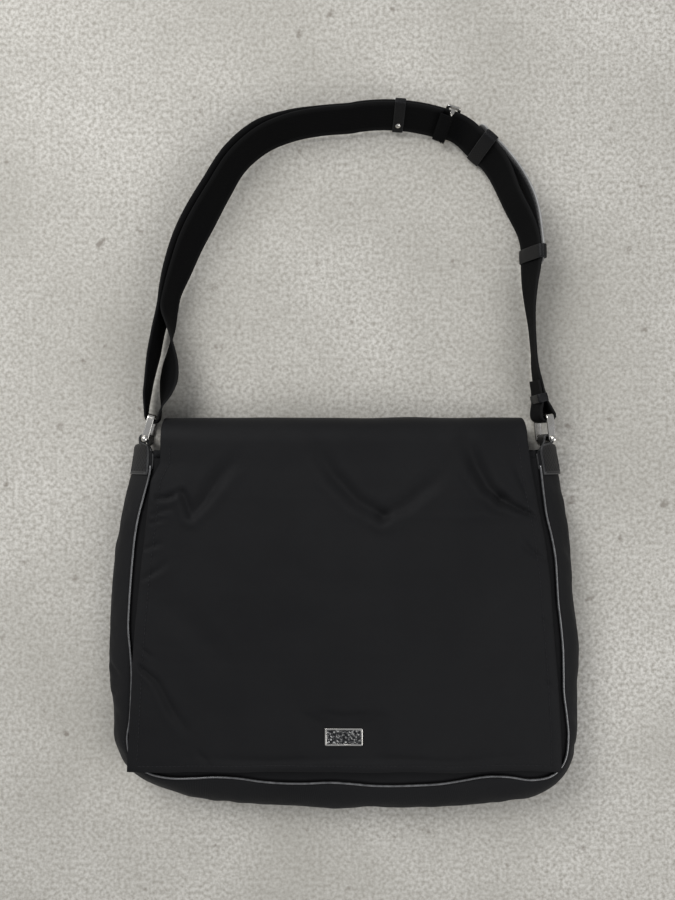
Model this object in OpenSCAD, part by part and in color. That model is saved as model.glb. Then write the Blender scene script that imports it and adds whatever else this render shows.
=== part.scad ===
// Messenger bag lying on its back: a nylon body with a fold-over flap, and a webbing
// shoulder strap laid out in a loop above it.
// Origin: middle of the back panel's outer face. +X right, +Y to the strap, +Z up to the flap.

/* [Body] */
// Half width of the panels at the mouth
mouth_half = 157.5; // [130:0.5:190]
// Half width of the panels at the bottom corners
base_half = 180; // [150:0.5:220]
// Distance from the origin to the mouth
mouth_y = 150; // [110:1:200]
// Distance from the origin to the bottom seam
bottom_y = 121; // [90:1:160]
// Radius of the panels' bottom corners
corner_r = 24; // [12:1:40]
// Depth of the body from back face to front face
body_depth = 34; // [26:0.5:48]
// How far the side gusset bulges past its seams
side_bulge = 15.5; // [6:0.5:26]
// How far the gusset bulges at its mouth ends
mouth_bulge = 14; // [6:0.5:24]
// How far the bottom gusset bulges past its seams
bottom_bulge = 27; // [8:0.5:36]
// Thickness of the nylon panels
panel_t = 1.6; // [1:0.1:3]
// Thickness of the gusset
gusset_t = 1.5; // [1:0.1:3]
// Thickness of the lining
lining_t = 0.8; // [0.5:0.1:1.5]
// Room between a panel and its lining, where washers sit
lining_gap = 0.6; // [0.4:0.1:1.5]
// Diameter of the piping
piping_d = 2.8; // [2:0.1:4]
// Depth of the binding on the front panel's mouth edge
binding_w = 5; // [3:0.5:12]
// Thickness of the binding tape
binding_t = 0.6; // [0.4:0.1:1]

/* [Flap] */
// Half width of the flap along its fold
fold_half = 149.5; // [120:0.5:175]
// Half width of the flap along its hem
hem_half = 177.5; // [140:0.5:210]
// Distance from the origin to the flap's hem
hem_y = 111.5; // [80:0.5:150]
// Distance from the mouth to the middle of the fold
fold_out = 8; // [4:0.5:20]
// Room between the front panel and the flap
flap_gap = 3.2; // [3:0.1:5]
// Thickness of the flap's outer cloth
flap_t = 1.4; // [1:0.1:3]
// Width of the flap's turned hem
hem_w = 5; // [3:0.5:12]

/* [Badge and magnetic snap] */
// Length of the metal badge
badge_l = 31; // [20:0.5:50]
// Height of the metal badge
badge_w = 14.4; // [8:0.2:24]
// Thickness of the metal badge
badge_t = 1.6; // [1:0.1:3]
// Distance of the badge from the flap's hem
badge_up = 28.5; // [15:0.5:60]
// Diameter of the magnetic snap
snap_d = 18; // [12:0.5:24]
// Height of each half of the magnetic snap
snap_t = 1.2; // [0.8:0.1:1.2]
// Distance from the badge's middle to the snap's middle
snap_up = 19; // [17:0.5:60]
// Thickness of the washers behind the snap and the badge
washer_t = 0.6; // [0.4:0.1:0.6]

/* [Rings and tabs] */
// Distance of the left ring's pin from the middle
pin_left = 165; // [140:0.5:200]
// Distance of the right ring's pin from the middle
pin_right = 169; // [140:0.5:200]
// Distance of the pins past the mouth
pin_out = 10; // [8:0.5:20]
// Diameter of the ring pins
pin_d = 4; // [3:0.1:6]
// Diameter of the balls on the pins' ends
ball_d = 5.6; // [4:0.1:8]
// Inside length of the ring, along the pin
ring_inside = 32; // [26:0.5:44]
// Distance from the pin to the middle of the ring's far bar
ring_reach = 20; // [14:0.5:30]
// Width of the ring's flat stock
stock_w = 6; // [4:0.2:9]
// Thickness of the ring's flat stock
stock_t = 2.5; // [1.6:0.1:4]
// Turn of the left ring towards the middle
ring_left_deg = 16; // [0:1:25]
// Turn of the right ring towards the middle
ring_right_deg = 6; // [0:1:25]
// Turning play of the rings in the webbing loops, each way
ring_play_deg = 3; // [0:0.5:3]
// Width of the leather tabs
tab_w = 24; // [14:0.5:28]
// Thickness of the leather tabs
tab_t = 2; // [1.2:0.1:3]
// Length of the tabs along the gusset
tab_l = 20; // [10:0.5:40]
// Running clearance round the pins
pin_clear = 0.3; // [0.2:0.05:0.6]

/* [Strap] */
// Width of the webbing
web_w = 30; // [24:0.5:30]
// Thickness of the webbing
web_t = 1.6; // [1.2:0.1:1.8]
// Gap between the doubled layers
layer_gap = 0.3; // [0.2:0.05:0.5]
// Room between the webbing and the pieces that slide on it
slide_clear = 0.5; // [0.3:0.05:0.8]
// Radius of the arc that the adjuster and the snap keeper slide along
top_arc_r = 160; // [150:1:170]
// Lean of the webbing from the floor along that arc
top_lean = 35; // [30:1:40]
// Height of the webbing's middle along that arc
top_z = 13.6; // [13:0.1:16]
// Radius of the arc that the shoulder pad slides along
pad_arc_r = 123; // [118:1:128]
// Lean of the webbing from the floor along the pad
pad_lean = 50; // [45:1:55]
// Height of the webbing's middle along the pad
pad_z = 16.8; // [16:0.1:19]

/* [Adjuster] */
// Place of the adjuster along the top arc
adjuster_deg = 70.6; // [69:0.1:72]
// Length of the adjuster along the strap
adjuster_l = 13; // [11:0.5:14]
// Width of each bar of the adjuster's frame
adjuster_bar_w = 3; // [2:0.1:3.5]
// Thickness of the adjuster's frame
adjuster_t = 2; // [1.5:0.1:2.5]

/* [Snap keeper] */
// Place of the snap keeper along the top arc
keeper_deg = 85.8; // [84:0.1:88]
// Width of the leather keepers
keeper_l = 9; // [6:0.5:11]
// Thickness of the leather keepers
keeper_t = 1.2; // [0.8:0.1:1.6]
// Diameter of the keeper's snap
keeper_snap_d = 6; // [4:0.2:9]
// Height of the keeper's snap cap
keeper_snap_t = 1.2; // [0.8:0.1:2]

/* [Shoulder pad] */
// Width of the shoulder pad
pad_w = 34; // [31:0.5:36]
// Thickness of the shoulder pad
pad_t = 3; // [2:0.1:3.4]
// First angle of the pad on its arc
pad_from_deg = 0; // [-1:0.1:6]
// Last angle of the pad on its arc
pad_to_deg = 49.4; // [44:0.1:49.6]
// Width of the pad's loops
pad_loop_l = 11; // [7:0.5:13]

/* [Hidden] */
$fn = 48;
nylon = [0.13, 0.13, 0.14];
webbing = [0.06, 0.06, 0.06];
leather = [0.2, 0.2, 0.2];
nickel = [0.75, 0.75, 0.77];
cord_grey = [0.3, 0.3, 0.31];

// ---- body outline -------------------------------------------------------
side_curve = 1.65;
side_steps = 12;
corner_steps = 6;
corner_y = corner_r - bottom_y;

function taper(low, high, u) = low - (low - high) * pow(max(u, 0), side_curve);
function panel_half(y) = taper(base_half, mouth_half, (y - corner_y) / (mouth_y - corner_y));
right_side = [for (i = [0 : side_steps])
    let (y = mouth_y + (corner_y - mouth_y) * i / side_steps) [panel_half(y), y]];
right_corner = [for (i = [1 : corner_steps])
    let (a = -90 * i / corner_steps)
    [base_half - corner_r + corner_r * cos(a), corner_y + corner_r * sin(a)]];
right_half = concat(right_side, right_corner);
half_count = len(right_half);
// The seam line: down the right side, along the bottom and up the left side.
seam = concat(right_half, [for (i = [half_count - 1 : -1 : 0]) [-right_half[i][0], right_half[i][1]]]);
seam_count = len(seam);

function along(route, i) =
    let (d = route[min(i + 1, len(route) - 1)] - route[max(i - 1, 0)]) d / norm(d);
function outward(i) = let (d = along(seam, i)) [-d[1], d[0]];
function swell(i) =
    let (n = outward(i), down = min(1, (mouth_y - seam[i][1]) / 90),
         beside = mouth_bulge + (side_bulge - mouth_bulge) * down)
    beside + (bottom_bulge - beside) * pow(abs(min(n[1], 0)), 1.5);
function wall_out(i, t) = swell(i) * pow(sin(180 * t), 0.6);
function wall_point(i, t, lift) =
    let (p = seam[i] + outward(i) * (wall_out(i, t) + lift)) [p[0], p[1], body_depth * t];

// A band of the gusset's curved wall, between two seam points, two heights and two lifts.
module wall_band(first, last, t0, t1, lift0, lift1, steps = 10) {
    ring = concat(
        [for (j = [0 : steps]) [t0 + (t1 - t0) * j / steps, lift1]],
        [for (j = [steps : -1 : 0]) [t0 + (t1 - t0) * j / steps, lift0]]);
    sweep_rings([for (i = [first : last]) [for (r = ring) wall_point(i, r[0], r[1])]]);
}

// A closed solid through a list of equal rings of points.
module sweep_rings(rings) {
    n = len(rings[0]);
    m = len(rings);
    polyhedron(
        points = [for (r = rings, p = r) p],
        faces = concat(
            [[for (k = [0 : n - 1]) k]],
            [[for (k = [n - 1 : -1 : 0]) (m - 1) * n + k]],
            [for (i = [0 : m - 2], k = [0 : n - 1]) let (l = (k + 1) % n)
                [i * n + l, i * n + k, (i + 1) * n + k]],
            [for (i = [0 : m - 2], k = [0 : n - 1]) let (l = (k + 1) % n)
                [i * n + l, (i + 1) * n + k, (i + 1) * n + l]]),
        convexity = 8);
}

module panel_plate(thickness, inset = 0) {
    linear_extrude(thickness)
        polygon([for (i = [0 : seam_count - 1]) seam[i] - outward(i) * inset]);
}

// ---- body pieces --------------------------------------------------------
fold_y = mouth_y + fold_out;
flap_bottom_z = body_depth + flap_gap;
flap_top_z = flap_bottom_z + lining_t + lining_gap + flap_t;
fold_r = flap_top_z / 2;
lining_inset = 0.6;

module back_panel() color(nylon) {
    panel_plate(panel_t);
    // the strip that runs on past the mouth to the flap's fold
    translate([-fold_half, mouth_y - 1, 0]) cube([2 * fold_half, fold_out + 1, panel_t]);
}
module front_panel() color(nylon)
    translate([0, 0, body_depth - panel_t]) panel_plate(panel_t);
module gusset() color(nylon) wall_band(0, seam_count - 1, 0, 1, 0, gusset_t);

module piping_line(z) {
    side = piping_d * tan(22.5);
    corners = [for (k = [0 : 7]) let (a = 22.5 + 45 * k)
        [0.5 * piping_d / cos(22.5) * cos(a), z + 0.5 * piping_d / cos(22.5) * sin(a)]];
    sweep_rings([for (i = [0 : seam_count - 1]) [for (c = corners)
        let (p = seam[i] + outward(i) * (c[0] + side / 2)) [p[0], p[1], c[1]]]]);
}
module front_piping() color(cord_grey) piping_line(body_depth + piping_d / 2);

// The back piping stands beside the wall, because the bag rests on its back panel.
module back_piping() color(cord_grey) {
    low = 0.2;
    corners = [[0, low], [piping_d, low], [piping_d, low + 1.4], [piping_d / 2, low + piping_d / 2]];
    base_t = 0.04;
    sweep_rings([for (i = [0 : seam_count - 1]) [for (c = corners)
        let (o = gusset_t + 0.15 + wall_out(i, base_t) + c[0], p = seam[i] + outward(i) * o)
        [p[0], p[1], c[1]]]]);
}

module lining_back() color(leather)
    translate([0, 0, panel_t]) panel_plate(lining_t, lining_inset);
module lining_front() color(leather)
    translate([0, 0, body_depth - panel_t - lining_gap - lining_t]) panel_plate(lining_t, lining_inset);
// Room that keeps the lining's facets clear of the gusset's.
wall_room = 1.6;
module lining_gusset() color(leather) {
    low = (panel_t + lining_t) / body_depth;
    high = 1 - (panel_t + lining_gap + lining_t) / body_depth;
    wall_band(0, seam_count - 1, low, high, -lining_t - wall_room, -wall_room);
}
module mouth_binding() color(nylon) {
    deep = panel_t + lining_gap + lining_t;
    half = panel_half(mouth_y) - 1;
    translate([-half, mouth_y - binding_w, body_depth]) cube([2 * half, binding_w, binding_t]);
    translate([-half, mouth_y, body_depth - deep - binding_t])
        cube([2 * half, binding_t, deep + 2 * binding_t]);
    translate([-half, mouth_y - binding_w, body_depth - deep - binding_t])
        cube([2 * half, binding_w, binding_t]);
}

// ---- magnetic snap and badge --------------------------------------------
badge_y = badge_up - hem_y;
snap_y = badge_y + snap_up;
washer_gap_z = body_depth - panel_t - lining_gap;
flap_gap_z = flap_bottom_z + lining_t;

module washer(z) {
    translate([0, snap_y, z]) difference() {
        cylinder(d = snap_d - 2, h = washer_t);
        translate([0, 0, -1]) cylinder(d = snap_d / 3, h = washer_t + 2);
    }
}
module magnet_base() color(nickel) translate([0, snap_y, body_depth]) difference() {
    cylinder(d = snap_d, h = snap_t);
    translate([0, 0, snap_t - 0.6]) cylinder(d = snap_d / 3 + 0.6, h = 1);
}
module magnet_base_washer() color(nickel) washer(washer_gap_z);
module magnet_cap() color(nickel) translate([0, snap_y, flap_bottom_z - snap_t]) {
    cylinder(d = snap_d, h = snap_t);
}
module magnet_cap_washer() color(nickel) washer(flap_gap_z);

module badge_plate() color(nickel) translate([0, badge_y, flap_top_z]) {
    rim = 1.2;
    translate([-badge_l / 2, -badge_w / 2, 0]) difference() {
        cube([badge_l, badge_w, badge_t]);
        translate([rim, rim, badge_t - 0.5]) cube([badge_l - 2 * rim, badge_w - 2 * rim, 1]);
    }
}
module badge_washer() color(nickel)
    translate([-0.4 * badge_l, badge_y - 0.3 * badge_w, flap_gap_z])
        cube([0.8 * badge_l, 0.6 * badge_w, washer_t]);

// ---- flap ---------------------------------------------------------------
flap_steps = 14;
function flap_half(y) = taper(hem_half, fold_half, (y + hem_y) / (fold_y + hem_y));
flap_right = [for (i = [0 : flap_steps])
    let (y = fold_y - (fold_y + hem_y) * i / flap_steps) [flap_half(y), y]];
module flap_outline(inset) {
    right = [for (p = flap_right) [p[0] - inset, max(p[1], inset - hem_y)]];
    polygon(concat(right, [for (i = [flap_steps : -1 : 0]) [-right[i][0], right[i][1]]]));
}
module flap_shell() color(nylon) {
    translate([0, 0, flap_top_z - flap_t]) linear_extrude(flap_t) flap_outline(0);
    // the turned hem that meets the lining
    translate([0, 0, flap_gap_z]) linear_extrude(lining_gap) difference() {
        flap_outline(0);
        flap_outline(hem_w);
    }
}
module flap_lining() color(leather)
    translate([0, 0, flap_bottom_z]) linear_extrude(lining_t) flap_outline(0.8);
module flap_fold() color(nylon) translate([-fold_half, fold_y, fold_r])
    rotate([90, 0, 90]) rotate_extrude_half(2 * fold_half);
module rotate_extrude_half(length) {
    wall = flap_t + lining_t;
    difference() {
        cylinder(r = fold_r, h = length, $fn = 96);
        translate([0, 0, -1]) cylinder(r = fold_r - wall, h = length + 2, $fn = 96);
        translate([-fold_r - 1, -fold_r - 1, -1]) cube([fold_r + 1, 2 * fold_r + 2, length + 2]);
    }
}

// ---- rings and tabs -----------------------------------------------------
pin_y = mouth_y + pin_out;
ring_half = ring_inside / 2 + stock_t;
pin_z = ring_half + 0.5;
bore_end = pin_d / 2 + 1.6;

module ring_place(side, x, deg) translate([side * x, pin_y, pin_z]) rotate([0, 0, side * deg]) children();

// A rectangle of flat stock, open at the pin: two cheeks and a far bar.
module ring_frame() difference() {
    translate([-stock_w / 2, -bore_end, -ring_half])
        cube([stock_w, bore_end + ring_reach + stock_t / 2, 2 * ring_half]);
    translate([-stock_w, -bore_end - 1, -ring_inside / 2])
        cube([2 * stock_w, bore_end + 1 + ring_reach - stock_t / 2, ring_inside]);
    translate([0, 0, -ring_half - 1]) cylinder(d = pin_d, h = 2 * ring_half + 2);
}
module ring_pin() {
    cylinder(d = pin_d, h = 2 * ring_half, center = true);
    for (s = [-1, 1])
        translate([0, 0, s * (ring_half - 0.2)]) intersection() {
            sphere(d = ball_d, $fn = 32);
            translate([-ball_d, -ball_d, s > 0 ? 0.2 : -0.6]) cube([2 * ball_d, 2 * ball_d, 0.4]);
        }
}
module ring_frame_left() color(nickel) ring_place(-1, pin_left, ring_left_deg) ring_frame();
module ring_pin_left() color(nickel) ring_place(-1, pin_left, ring_left_deg) ring_pin();
module ring_frame_right() color(nickel) ring_place(1, pin_right, ring_right_deg) ring_frame();
module ring_pin_right() color(nickel) ring_place(1, pin_right, ring_right_deg) ring_pin();

// A leather tab: a strip sewn along the gusset's end and folded round the pin.
tab_rows = [for (i = [0 : side_steps]) if (i < 2 || mouth_y - seam[i][1] <= tab_l) i];
function on_wall(i, lift) = seam[i] + outward(i) * (swell(i) + gusset_t + lift);
module tab(side, x) {
    strip_in = [for (i = tab_rows) on_wall(i, 0.05)];
    strip_out = [for (i = tab_rows) on_wall(i, 0.05 + tab_t)];
    round_r = pin_d / 2 + pin_clear + tab_t;
    count = len(tab_rows);
    neck = [[x + 0.9 * round_r, pin_y + 0.3 * round_r], [x - 0.3 * round_r, pin_y - 0.9 * round_r]];
    scale([side, 1, 1]) translate([0, 0, pin_z - tab_w / 2]) linear_extrude(tab_w) difference() {
        union() {
            polygon(concat([for (i = [count - 1 : -1 : 0]) strip_out[i]], neck, strip_in));
            translate([x, pin_y]) circle(round_r);
        }
        translate([x, pin_y]) circle(pin_d / 2 + pin_clear);
    }
}
module tab_left() color(leather) tab(-1, pin_left);
module tab_right() color(leather) tab(1, pin_right);

// ---- strap --------------------------------------------------------------
// Centres of the two arcs that sliding pieces run along.
top_arc = [35, mouth_y + 124];
pad_arc = [34.5, mouth_y + 161.5];
function on_arc(centre, r, deg) = centre + r * [cos(deg), sin(deg)];

// Round-the-bar loops: the webbing's middle runs at loop_r round each ring's far bar.
play = ring_reach * sin(ring_play_deg);
loop_room = 0.8;
loop_r = stock_w / 2 + play + loop_room + web_t / 2;
bar_right = [pin_right, pin_y] + ring_reach * [-sin(ring_right_deg), cos(ring_right_deg)];
bar_left = [-pin_left, pin_y] + ring_reach * [sin(ring_left_deg), cos(ring_left_deg)];
function bar_loop(bar, from, to) = [for (i = [0 : 6])
    let (a = from + (to - from) * i / 6) concat(bar + loop_r * [cos(a), sin(a)], [pin_z, 90])];

// Route points: place along X, place past the mouth, height, and lean from the floor.
stub = [[160.4, 59, 17.6, 87], [161.8, 49, 18.4, 88], [162.3, 41, pin_z, 90], [161.5, 35, pin_z, 90]];
right_run = [[169.4, 36, pin_z, 90], [165.9, 42, pin_z, 90], [164.1, 50, 18.4, 92],
    [162.5, 60, 17.6, 94], [160.7, 71, 17, 94], [159.6, 86, 16.6, 93], [158.2, 105, 16.4, 91],
    [156.9, 122, 16.4, 84], [156.6, 139, 16.5, 66]];
left_high = [[-20, 279, 13.4, 36], [-45, 274.5, 13.6, 40], [-70, 264.5, 14.8, 50],
    [-92, 245.5, 16.2, 60], [-108, 220, 16.4, 57], [-121.5, 196, 16.2, 52], [-131.5, 176, 16.4, 55],
    [-140, 153.5, 16.8, 62], [-146, 135, 17.2, 70]];
left_run = [[-150.4, 121, 17.4, 77], [-155.6, 100, 17.4, 83], [-161, 73, 17.6, 86],
    [-164.6, 50, 18.4, 89], [-165, 38, pin_z, 90]];
between = [[103.6, 265.4, 15.2, 43]];
return_run = [[-150, 36, pin_z, 90], [-146, 48, 18, 90], [-143, 72, 16.4, 92], [-142.8, 98, 16.2, 95],
    [-144.6, 119, 16.2, 102]];

function past_mouth(points) = [for (p = points) [p[0], mouth_y + p[1], p[2], p[3]]];
pad_stretch = [for (a = [-3 : 5.5 : 52]) concat(on_arc(pad_arc, pad_arc_r, a), [pad_z, pad_lean])];
top_stretch = [for (a = [67.5 : 2.8 : 101.1]) concat(on_arc(top_arc, top_arc_r, a), [top_z, top_lean])];
doubled = concat([for (i = [2 : len(top_stretch) - 1]) top_stretch[i]], past_mouth(left_high));

// The second layer lies on the first, towards the inside of the loop.
function side_of(points, i) =
    let (d = points[min(i + 1, len(points) - 1)] - points[max(i - 1, 0)],
         f = [d[0], d[1]] / norm([d[0], d[1]])) [f[1], -f[0]];
layer_step = web_t + layer_gap;
second_layer = [for (i = [len(doubled) - 1 : -1 : 0])
    let (p = doubled[i], o = side_of(doubled, i),
         q = [p[0], p[1]] - o * layer_step * sin(p[3]))
    [q[0], q[1], p[2] + layer_step * cos(p[3]), 180 - p[3]]];

route = concat(past_mouth(stub), bar_loop(bar_right, 180, 360), past_mouth(right_run),
    pad_stretch, past_mouth(between), top_stretch, past_mouth(left_high), past_mouth(left_run),
    bar_loop(bar_left, 180, 375), past_mouth(return_run), second_layer);

// A smooth curve through the route points, a third of a step at a time.
function blend4(a, b, c, d, t) = 0.5 * ((2 * b) + (c - a) * t
    + (2 * a - 5 * b + 4 * c - d) * t * t + (3 * b - a - 3 * c + d) * t * t * t);
smooth_steps = 3;
function smooth(p) = let (last = len(p) - 1) concat(
    [for (i = [0 : last - 1], s = [0 : smooth_steps - 1])
        blend4(p[max(i - 1, 0)], p[i], p[i + 1], p[min(i + 2, last)], s / smooth_steps)],
    [p[last]]);
fine = smooth(route);
function web_ring(i, half_w, half_t) =
    let (o = side_of(fine, i), p = [fine[i][0], fine[i][1], fine[i][2]], lean = fine[i][3],
         w = [o[0] * cos(lean), o[1] * cos(lean), sin(lean)],
         n = [o[0] * sin(lean), o[1] * sin(lean), -cos(lean)])
    [p - w * half_w - n * half_t, p + w * half_w - n * half_t,
     p + w * half_w + n * half_t, p - w * half_w + n * half_t];
module strap_webbing() color(webbing)
    sweep_rings([for (i = [0 : len(fine) - 1]) web_ring(i, web_w / 2, web_t / 2)]);

// A place on a sliding arc: local X runs along the strap, Y across it, Z out of its inner face.
module on_strap(centre, r, deg, z, lean) {
    p = on_arc(centre, r, deg);
    translate([p[0], p[1], z]) rotate([0, 0, deg - 90]) rotate([lean, 0, 0]) children();
}
// Height of the inner face of a single or a doubled strap above the middle of the first layer.
single_face = web_t / 2;
double_face = web_t / 2 + layer_step;

// A flat leather band round the strap, with the webbing's room inside.
module leather_band(length, across, low, high) difference() {
    translate([-length / 2, -across / 2 - keeper_t, low - keeper_t])
        cube([length, across + 2 * keeper_t, high - low + 2 * keeper_t]);
    translate([-length, -across / 2, low]) cube([2 * length, across, high - low]);
}
band_across = web_w + 2 * slide_clear;
module keeper_band() color(leather)
    on_strap(top_arc, top_arc_r, keeper_deg, top_z, top_lean)
        leather_band(keeper_l, band_across, -single_face - slide_clear, double_face + slide_clear);
keeper_top = double_face + slide_clear + keeper_t;
snap_across = -web_w / 4;
module keeper_snap_cap() color(nickel)
    on_strap(top_arc, top_arc_r, keeper_deg, top_z, top_lean)
        translate([0, snap_across, keeper_top]) cylinder(d = keeper_snap_d, h = keeper_snap_t);
module keeper_snap_stud() color(nickel)
    on_strap(top_arc, top_arc_r, keeper_deg, top_z, top_lean)
        translate([0, snap_across, -single_face - slide_clear - keeper_t - 0.8])
            cylinder(d = keeper_snap_d, h = 0.8);

// The adjuster: a frame round both layers, with a middle bar between them.
frame_low = -single_face - slide_clear;
bar_d = 1.6;
loop_t = 1.2;
bar_rise = double_face + 0.3 + loop_t + bar_d / 2;
module adjuster_frame() color(nickel)
    on_strap(top_arc, top_arc_r, adjuster_deg, top_z, top_lean) {
        for (s = [-1, 1])
            translate([-adjuster_l / 2, s * (band_across / 2 + 0.8) - 0.8, frame_low - adjuster_t])
                cube([adjuster_l, 1.6, bar_rise + bar_d / 2 - frame_low + adjuster_t]);
        for (x = [-adjuster_l / 2, adjuster_l / 2 - adjuster_bar_w])
            translate([x, -band_across / 2 - 1.6, frame_low - adjuster_t])
                cube([adjuster_bar_w, band_across + 3.2, adjuster_t]);
    }
module adjuster_bar() color(nickel)
    on_strap(top_arc, top_arc_r, adjuster_deg, top_z, top_lean)
        translate([0, 0, bar_rise]) rotate([90, 0, 0])
            cylinder(d = bar_d, h = band_across, center = true);
module adjuster_loop() color(webbing)
    on_strap(top_arc, top_arc_r, adjuster_deg, top_z, top_lean)
        translate([0, web_w / 2 - 1, bar_rise]) rotate([90, 0, 0]) linear_extrude(web_w - 2)
            difference() {
                union() {
                    circle(d = bar_d + 2 * loop_t);
                    translate([-7, bar_d / 2]) square([7, loop_t]);
                }
                circle(d = bar_d + 0.1);
            }

// The end keeper holds the two layers together above the right ring.
end_keeper_up = 38;
end_keeper_in = 5.5;
end_keeper_w = 7;
end_keeper_t = 0.8;
end_keeper_drop = 0.9;
module end_keeper() color(leather)
    translate([pin_right - end_keeper_in, pin_y + end_keeper_up, pin_z - end_keeper_drop]) difference() {
        room = 2 * web_t + 3.6;
        tall = web_w + 1.6;
        cube([room + 2 * end_keeper_t, end_keeper_w, tall + 2 * end_keeper_t], center = true);
        cube([room, end_keeper_w + 1, tall], center = true);
    }

// ---- shoulder pad -------------------------------------------------------
pad_low = single_face + slide_clear;
module shoulder_pad() color(leather) {
    // across the strap and out of its outer face, at the pad's lean
    w = [cos(pad_lean), sin(pad_lean)];
    n = [sin(pad_lean), -cos(pad_lean)];
    corner = function (a, b) [pad_arc_r, pad_z] + w * a + n * b;
    translate([pad_arc[0], pad_arc[1], 0]) rotate([0, 0, pad_from_deg])
        rotate_extrude(angle = pad_to_deg - pad_from_deg, $fn = 96)
            polygon([
                corner(-pad_w / 2, pad_low), corner(pad_w / 2, pad_low),
                corner(pad_w / 2 - 1, pad_low + pad_t), corner(-pad_w / 2 + 1, pad_low + pad_t)]);
}
loop_step_deg = 3.6;
module pad_loop(deg) on_strap(pad_arc, pad_arc_r, deg, pad_z, pad_lean) difference() {
    top = single_face + slide_clear;
    room = pad_low + pad_t;
    across = pad_w + 0.6;
    translate([-pad_loop_l / 2, -across / 2 - keeper_t, -room - 0.3 - keeper_t])
        cube([pad_loop_l, across + 2 * keeper_t, room + top + 0.3 + 2 * keeper_t]);
    translate([-pad_loop_l, -across / 2, -room - 0.3])
        cube([2 * pad_loop_l, across, room + top + 0.3]);
}
module pad_loop_upper() color(leather) pad_loop(pad_to_deg - loop_step_deg);
module pad_loop_lower() color(leather) pad_loop(pad_from_deg + loop_step_deg);

back_panel();
front_panel();
gusset();
front_piping();
back_piping();
lining_back();
lining_front();
lining_gusset();
mouth_binding();
magnet_base();
magnet_base_washer();
tab_left();
tab_right();
flap_fold();
flap_shell();
flap_lining();
badge_plate();
badge_washer();
magnet_cap();
magnet_cap_washer();
ring_frame_left();
ring_pin_left();
ring_frame_right();
ring_pin_right();
strap_webbing();
end_keeper();
adjuster_frame();
adjuster_bar();
adjuster_loop();
keeper_band();
keeper_snap_cap();
keeper_snap_stud();
shoulder_pad();
pad_loop_upper();
pad_loop_lower();
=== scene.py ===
# %% [markdown]
# # A nylon messenger bag, piece by piece
# The bag lies on its back with its strap laid out above it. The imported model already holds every
# solid in its place, so each step below makes one real piece of the bag in the same place, with the
# cloth, leather or metal that it is made of. Lengths are written in millimetres, as on a pattern,
# and turned into metres when a mesh is made.

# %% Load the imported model
import math
import bpy
import numpy as np
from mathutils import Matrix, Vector


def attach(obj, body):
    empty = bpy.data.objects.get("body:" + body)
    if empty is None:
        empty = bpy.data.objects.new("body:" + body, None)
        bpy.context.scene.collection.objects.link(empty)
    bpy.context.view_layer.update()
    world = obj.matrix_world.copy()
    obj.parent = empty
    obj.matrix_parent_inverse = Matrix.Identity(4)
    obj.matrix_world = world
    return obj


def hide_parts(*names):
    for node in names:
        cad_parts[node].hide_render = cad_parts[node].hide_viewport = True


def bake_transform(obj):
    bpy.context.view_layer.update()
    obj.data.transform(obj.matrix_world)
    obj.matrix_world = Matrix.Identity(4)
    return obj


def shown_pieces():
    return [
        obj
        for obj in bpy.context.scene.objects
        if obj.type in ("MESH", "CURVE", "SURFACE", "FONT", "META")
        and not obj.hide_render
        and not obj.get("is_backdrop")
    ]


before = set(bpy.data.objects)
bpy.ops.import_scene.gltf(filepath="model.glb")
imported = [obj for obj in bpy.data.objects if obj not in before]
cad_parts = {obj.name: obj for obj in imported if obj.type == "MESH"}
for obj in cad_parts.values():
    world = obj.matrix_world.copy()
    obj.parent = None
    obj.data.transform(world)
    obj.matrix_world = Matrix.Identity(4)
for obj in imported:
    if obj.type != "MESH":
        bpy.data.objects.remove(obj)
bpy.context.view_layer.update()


scene = bpy.context.scene

# %% [markdown]
# ## Camera, floor and light
# The bag is looked at from straight above, from the height of a person's eyes as they bend over it.
# A long lens would flatten the bulge of the sides, so the camera stays at the short distance at
# which they show. The floor is plain and pale, and the light is soft: one wide lamp at the top left
# gives the shape, a weaker one fills from the other side, and an even pale sky does the rest.

# %% Camera
MM = 0.001
camera_data = bpy.data.cameras.new("camera_above")
camera_data.sensor_fit = "VERTICAL"
camera_data.sensor_height = 24
camera_data.lens = 25.83
camera = bpy.data.objects.new("camera_above", camera_data)
camera.location = (-5.1 * MM, 150.8 * MM, 830 * MM)
scene.collection.objects.link(camera)
scene.camera = camera
scene.view_settings.view_transform = "Standard"
print("camera height", round(camera.location.z, 3), "m, lens", camera_data.lens, "mm")


# %% Soft studio light
def soft_lamp(name, place, size, watts):
    data = bpy.data.lights.new(name, "AREA")
    data.size = size
    data.energy = watts
    lamp = bpy.data.objects.new(name, data)
    lamp.location = place
    aim = Vector((0, 0.08, 0)) - lamp.location
    lamp.rotation_euler = aim.to_track_quat("-Z", "Y").to_euler()
    scene.collection.objects.link(lamp)


soft_lamp("wide_lamp", (-1.1, 1.3, 1.35), 1.3, 34)
soft_lamp("fill_lamp", (1.2, -0.7, 1.4), 1.4, 16)
sky = bpy.data.worlds.new("pale_sky")
sky.use_nodes = True
sky.node_tree.nodes["Background"].inputs[0].default_value = (0.93, 0.95, 1, 1)
sky.node_tree.nodes["Background"].inputs[1].default_value = 0.38
scene.world = sky


# %% [markdown]
# ## Materials
# Every finish on the bag is made of a few patterns that follow the cloth itself: woven or ribbed
# lines run along the sheet's own UV lengths, which are in metres, so a thread has the same size on
# every piece. A picture could be laid on instead, but it would stretch at the folds and blur up
# close. Large soft patches of noise change colour and roughness a little, as handling does.

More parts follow.
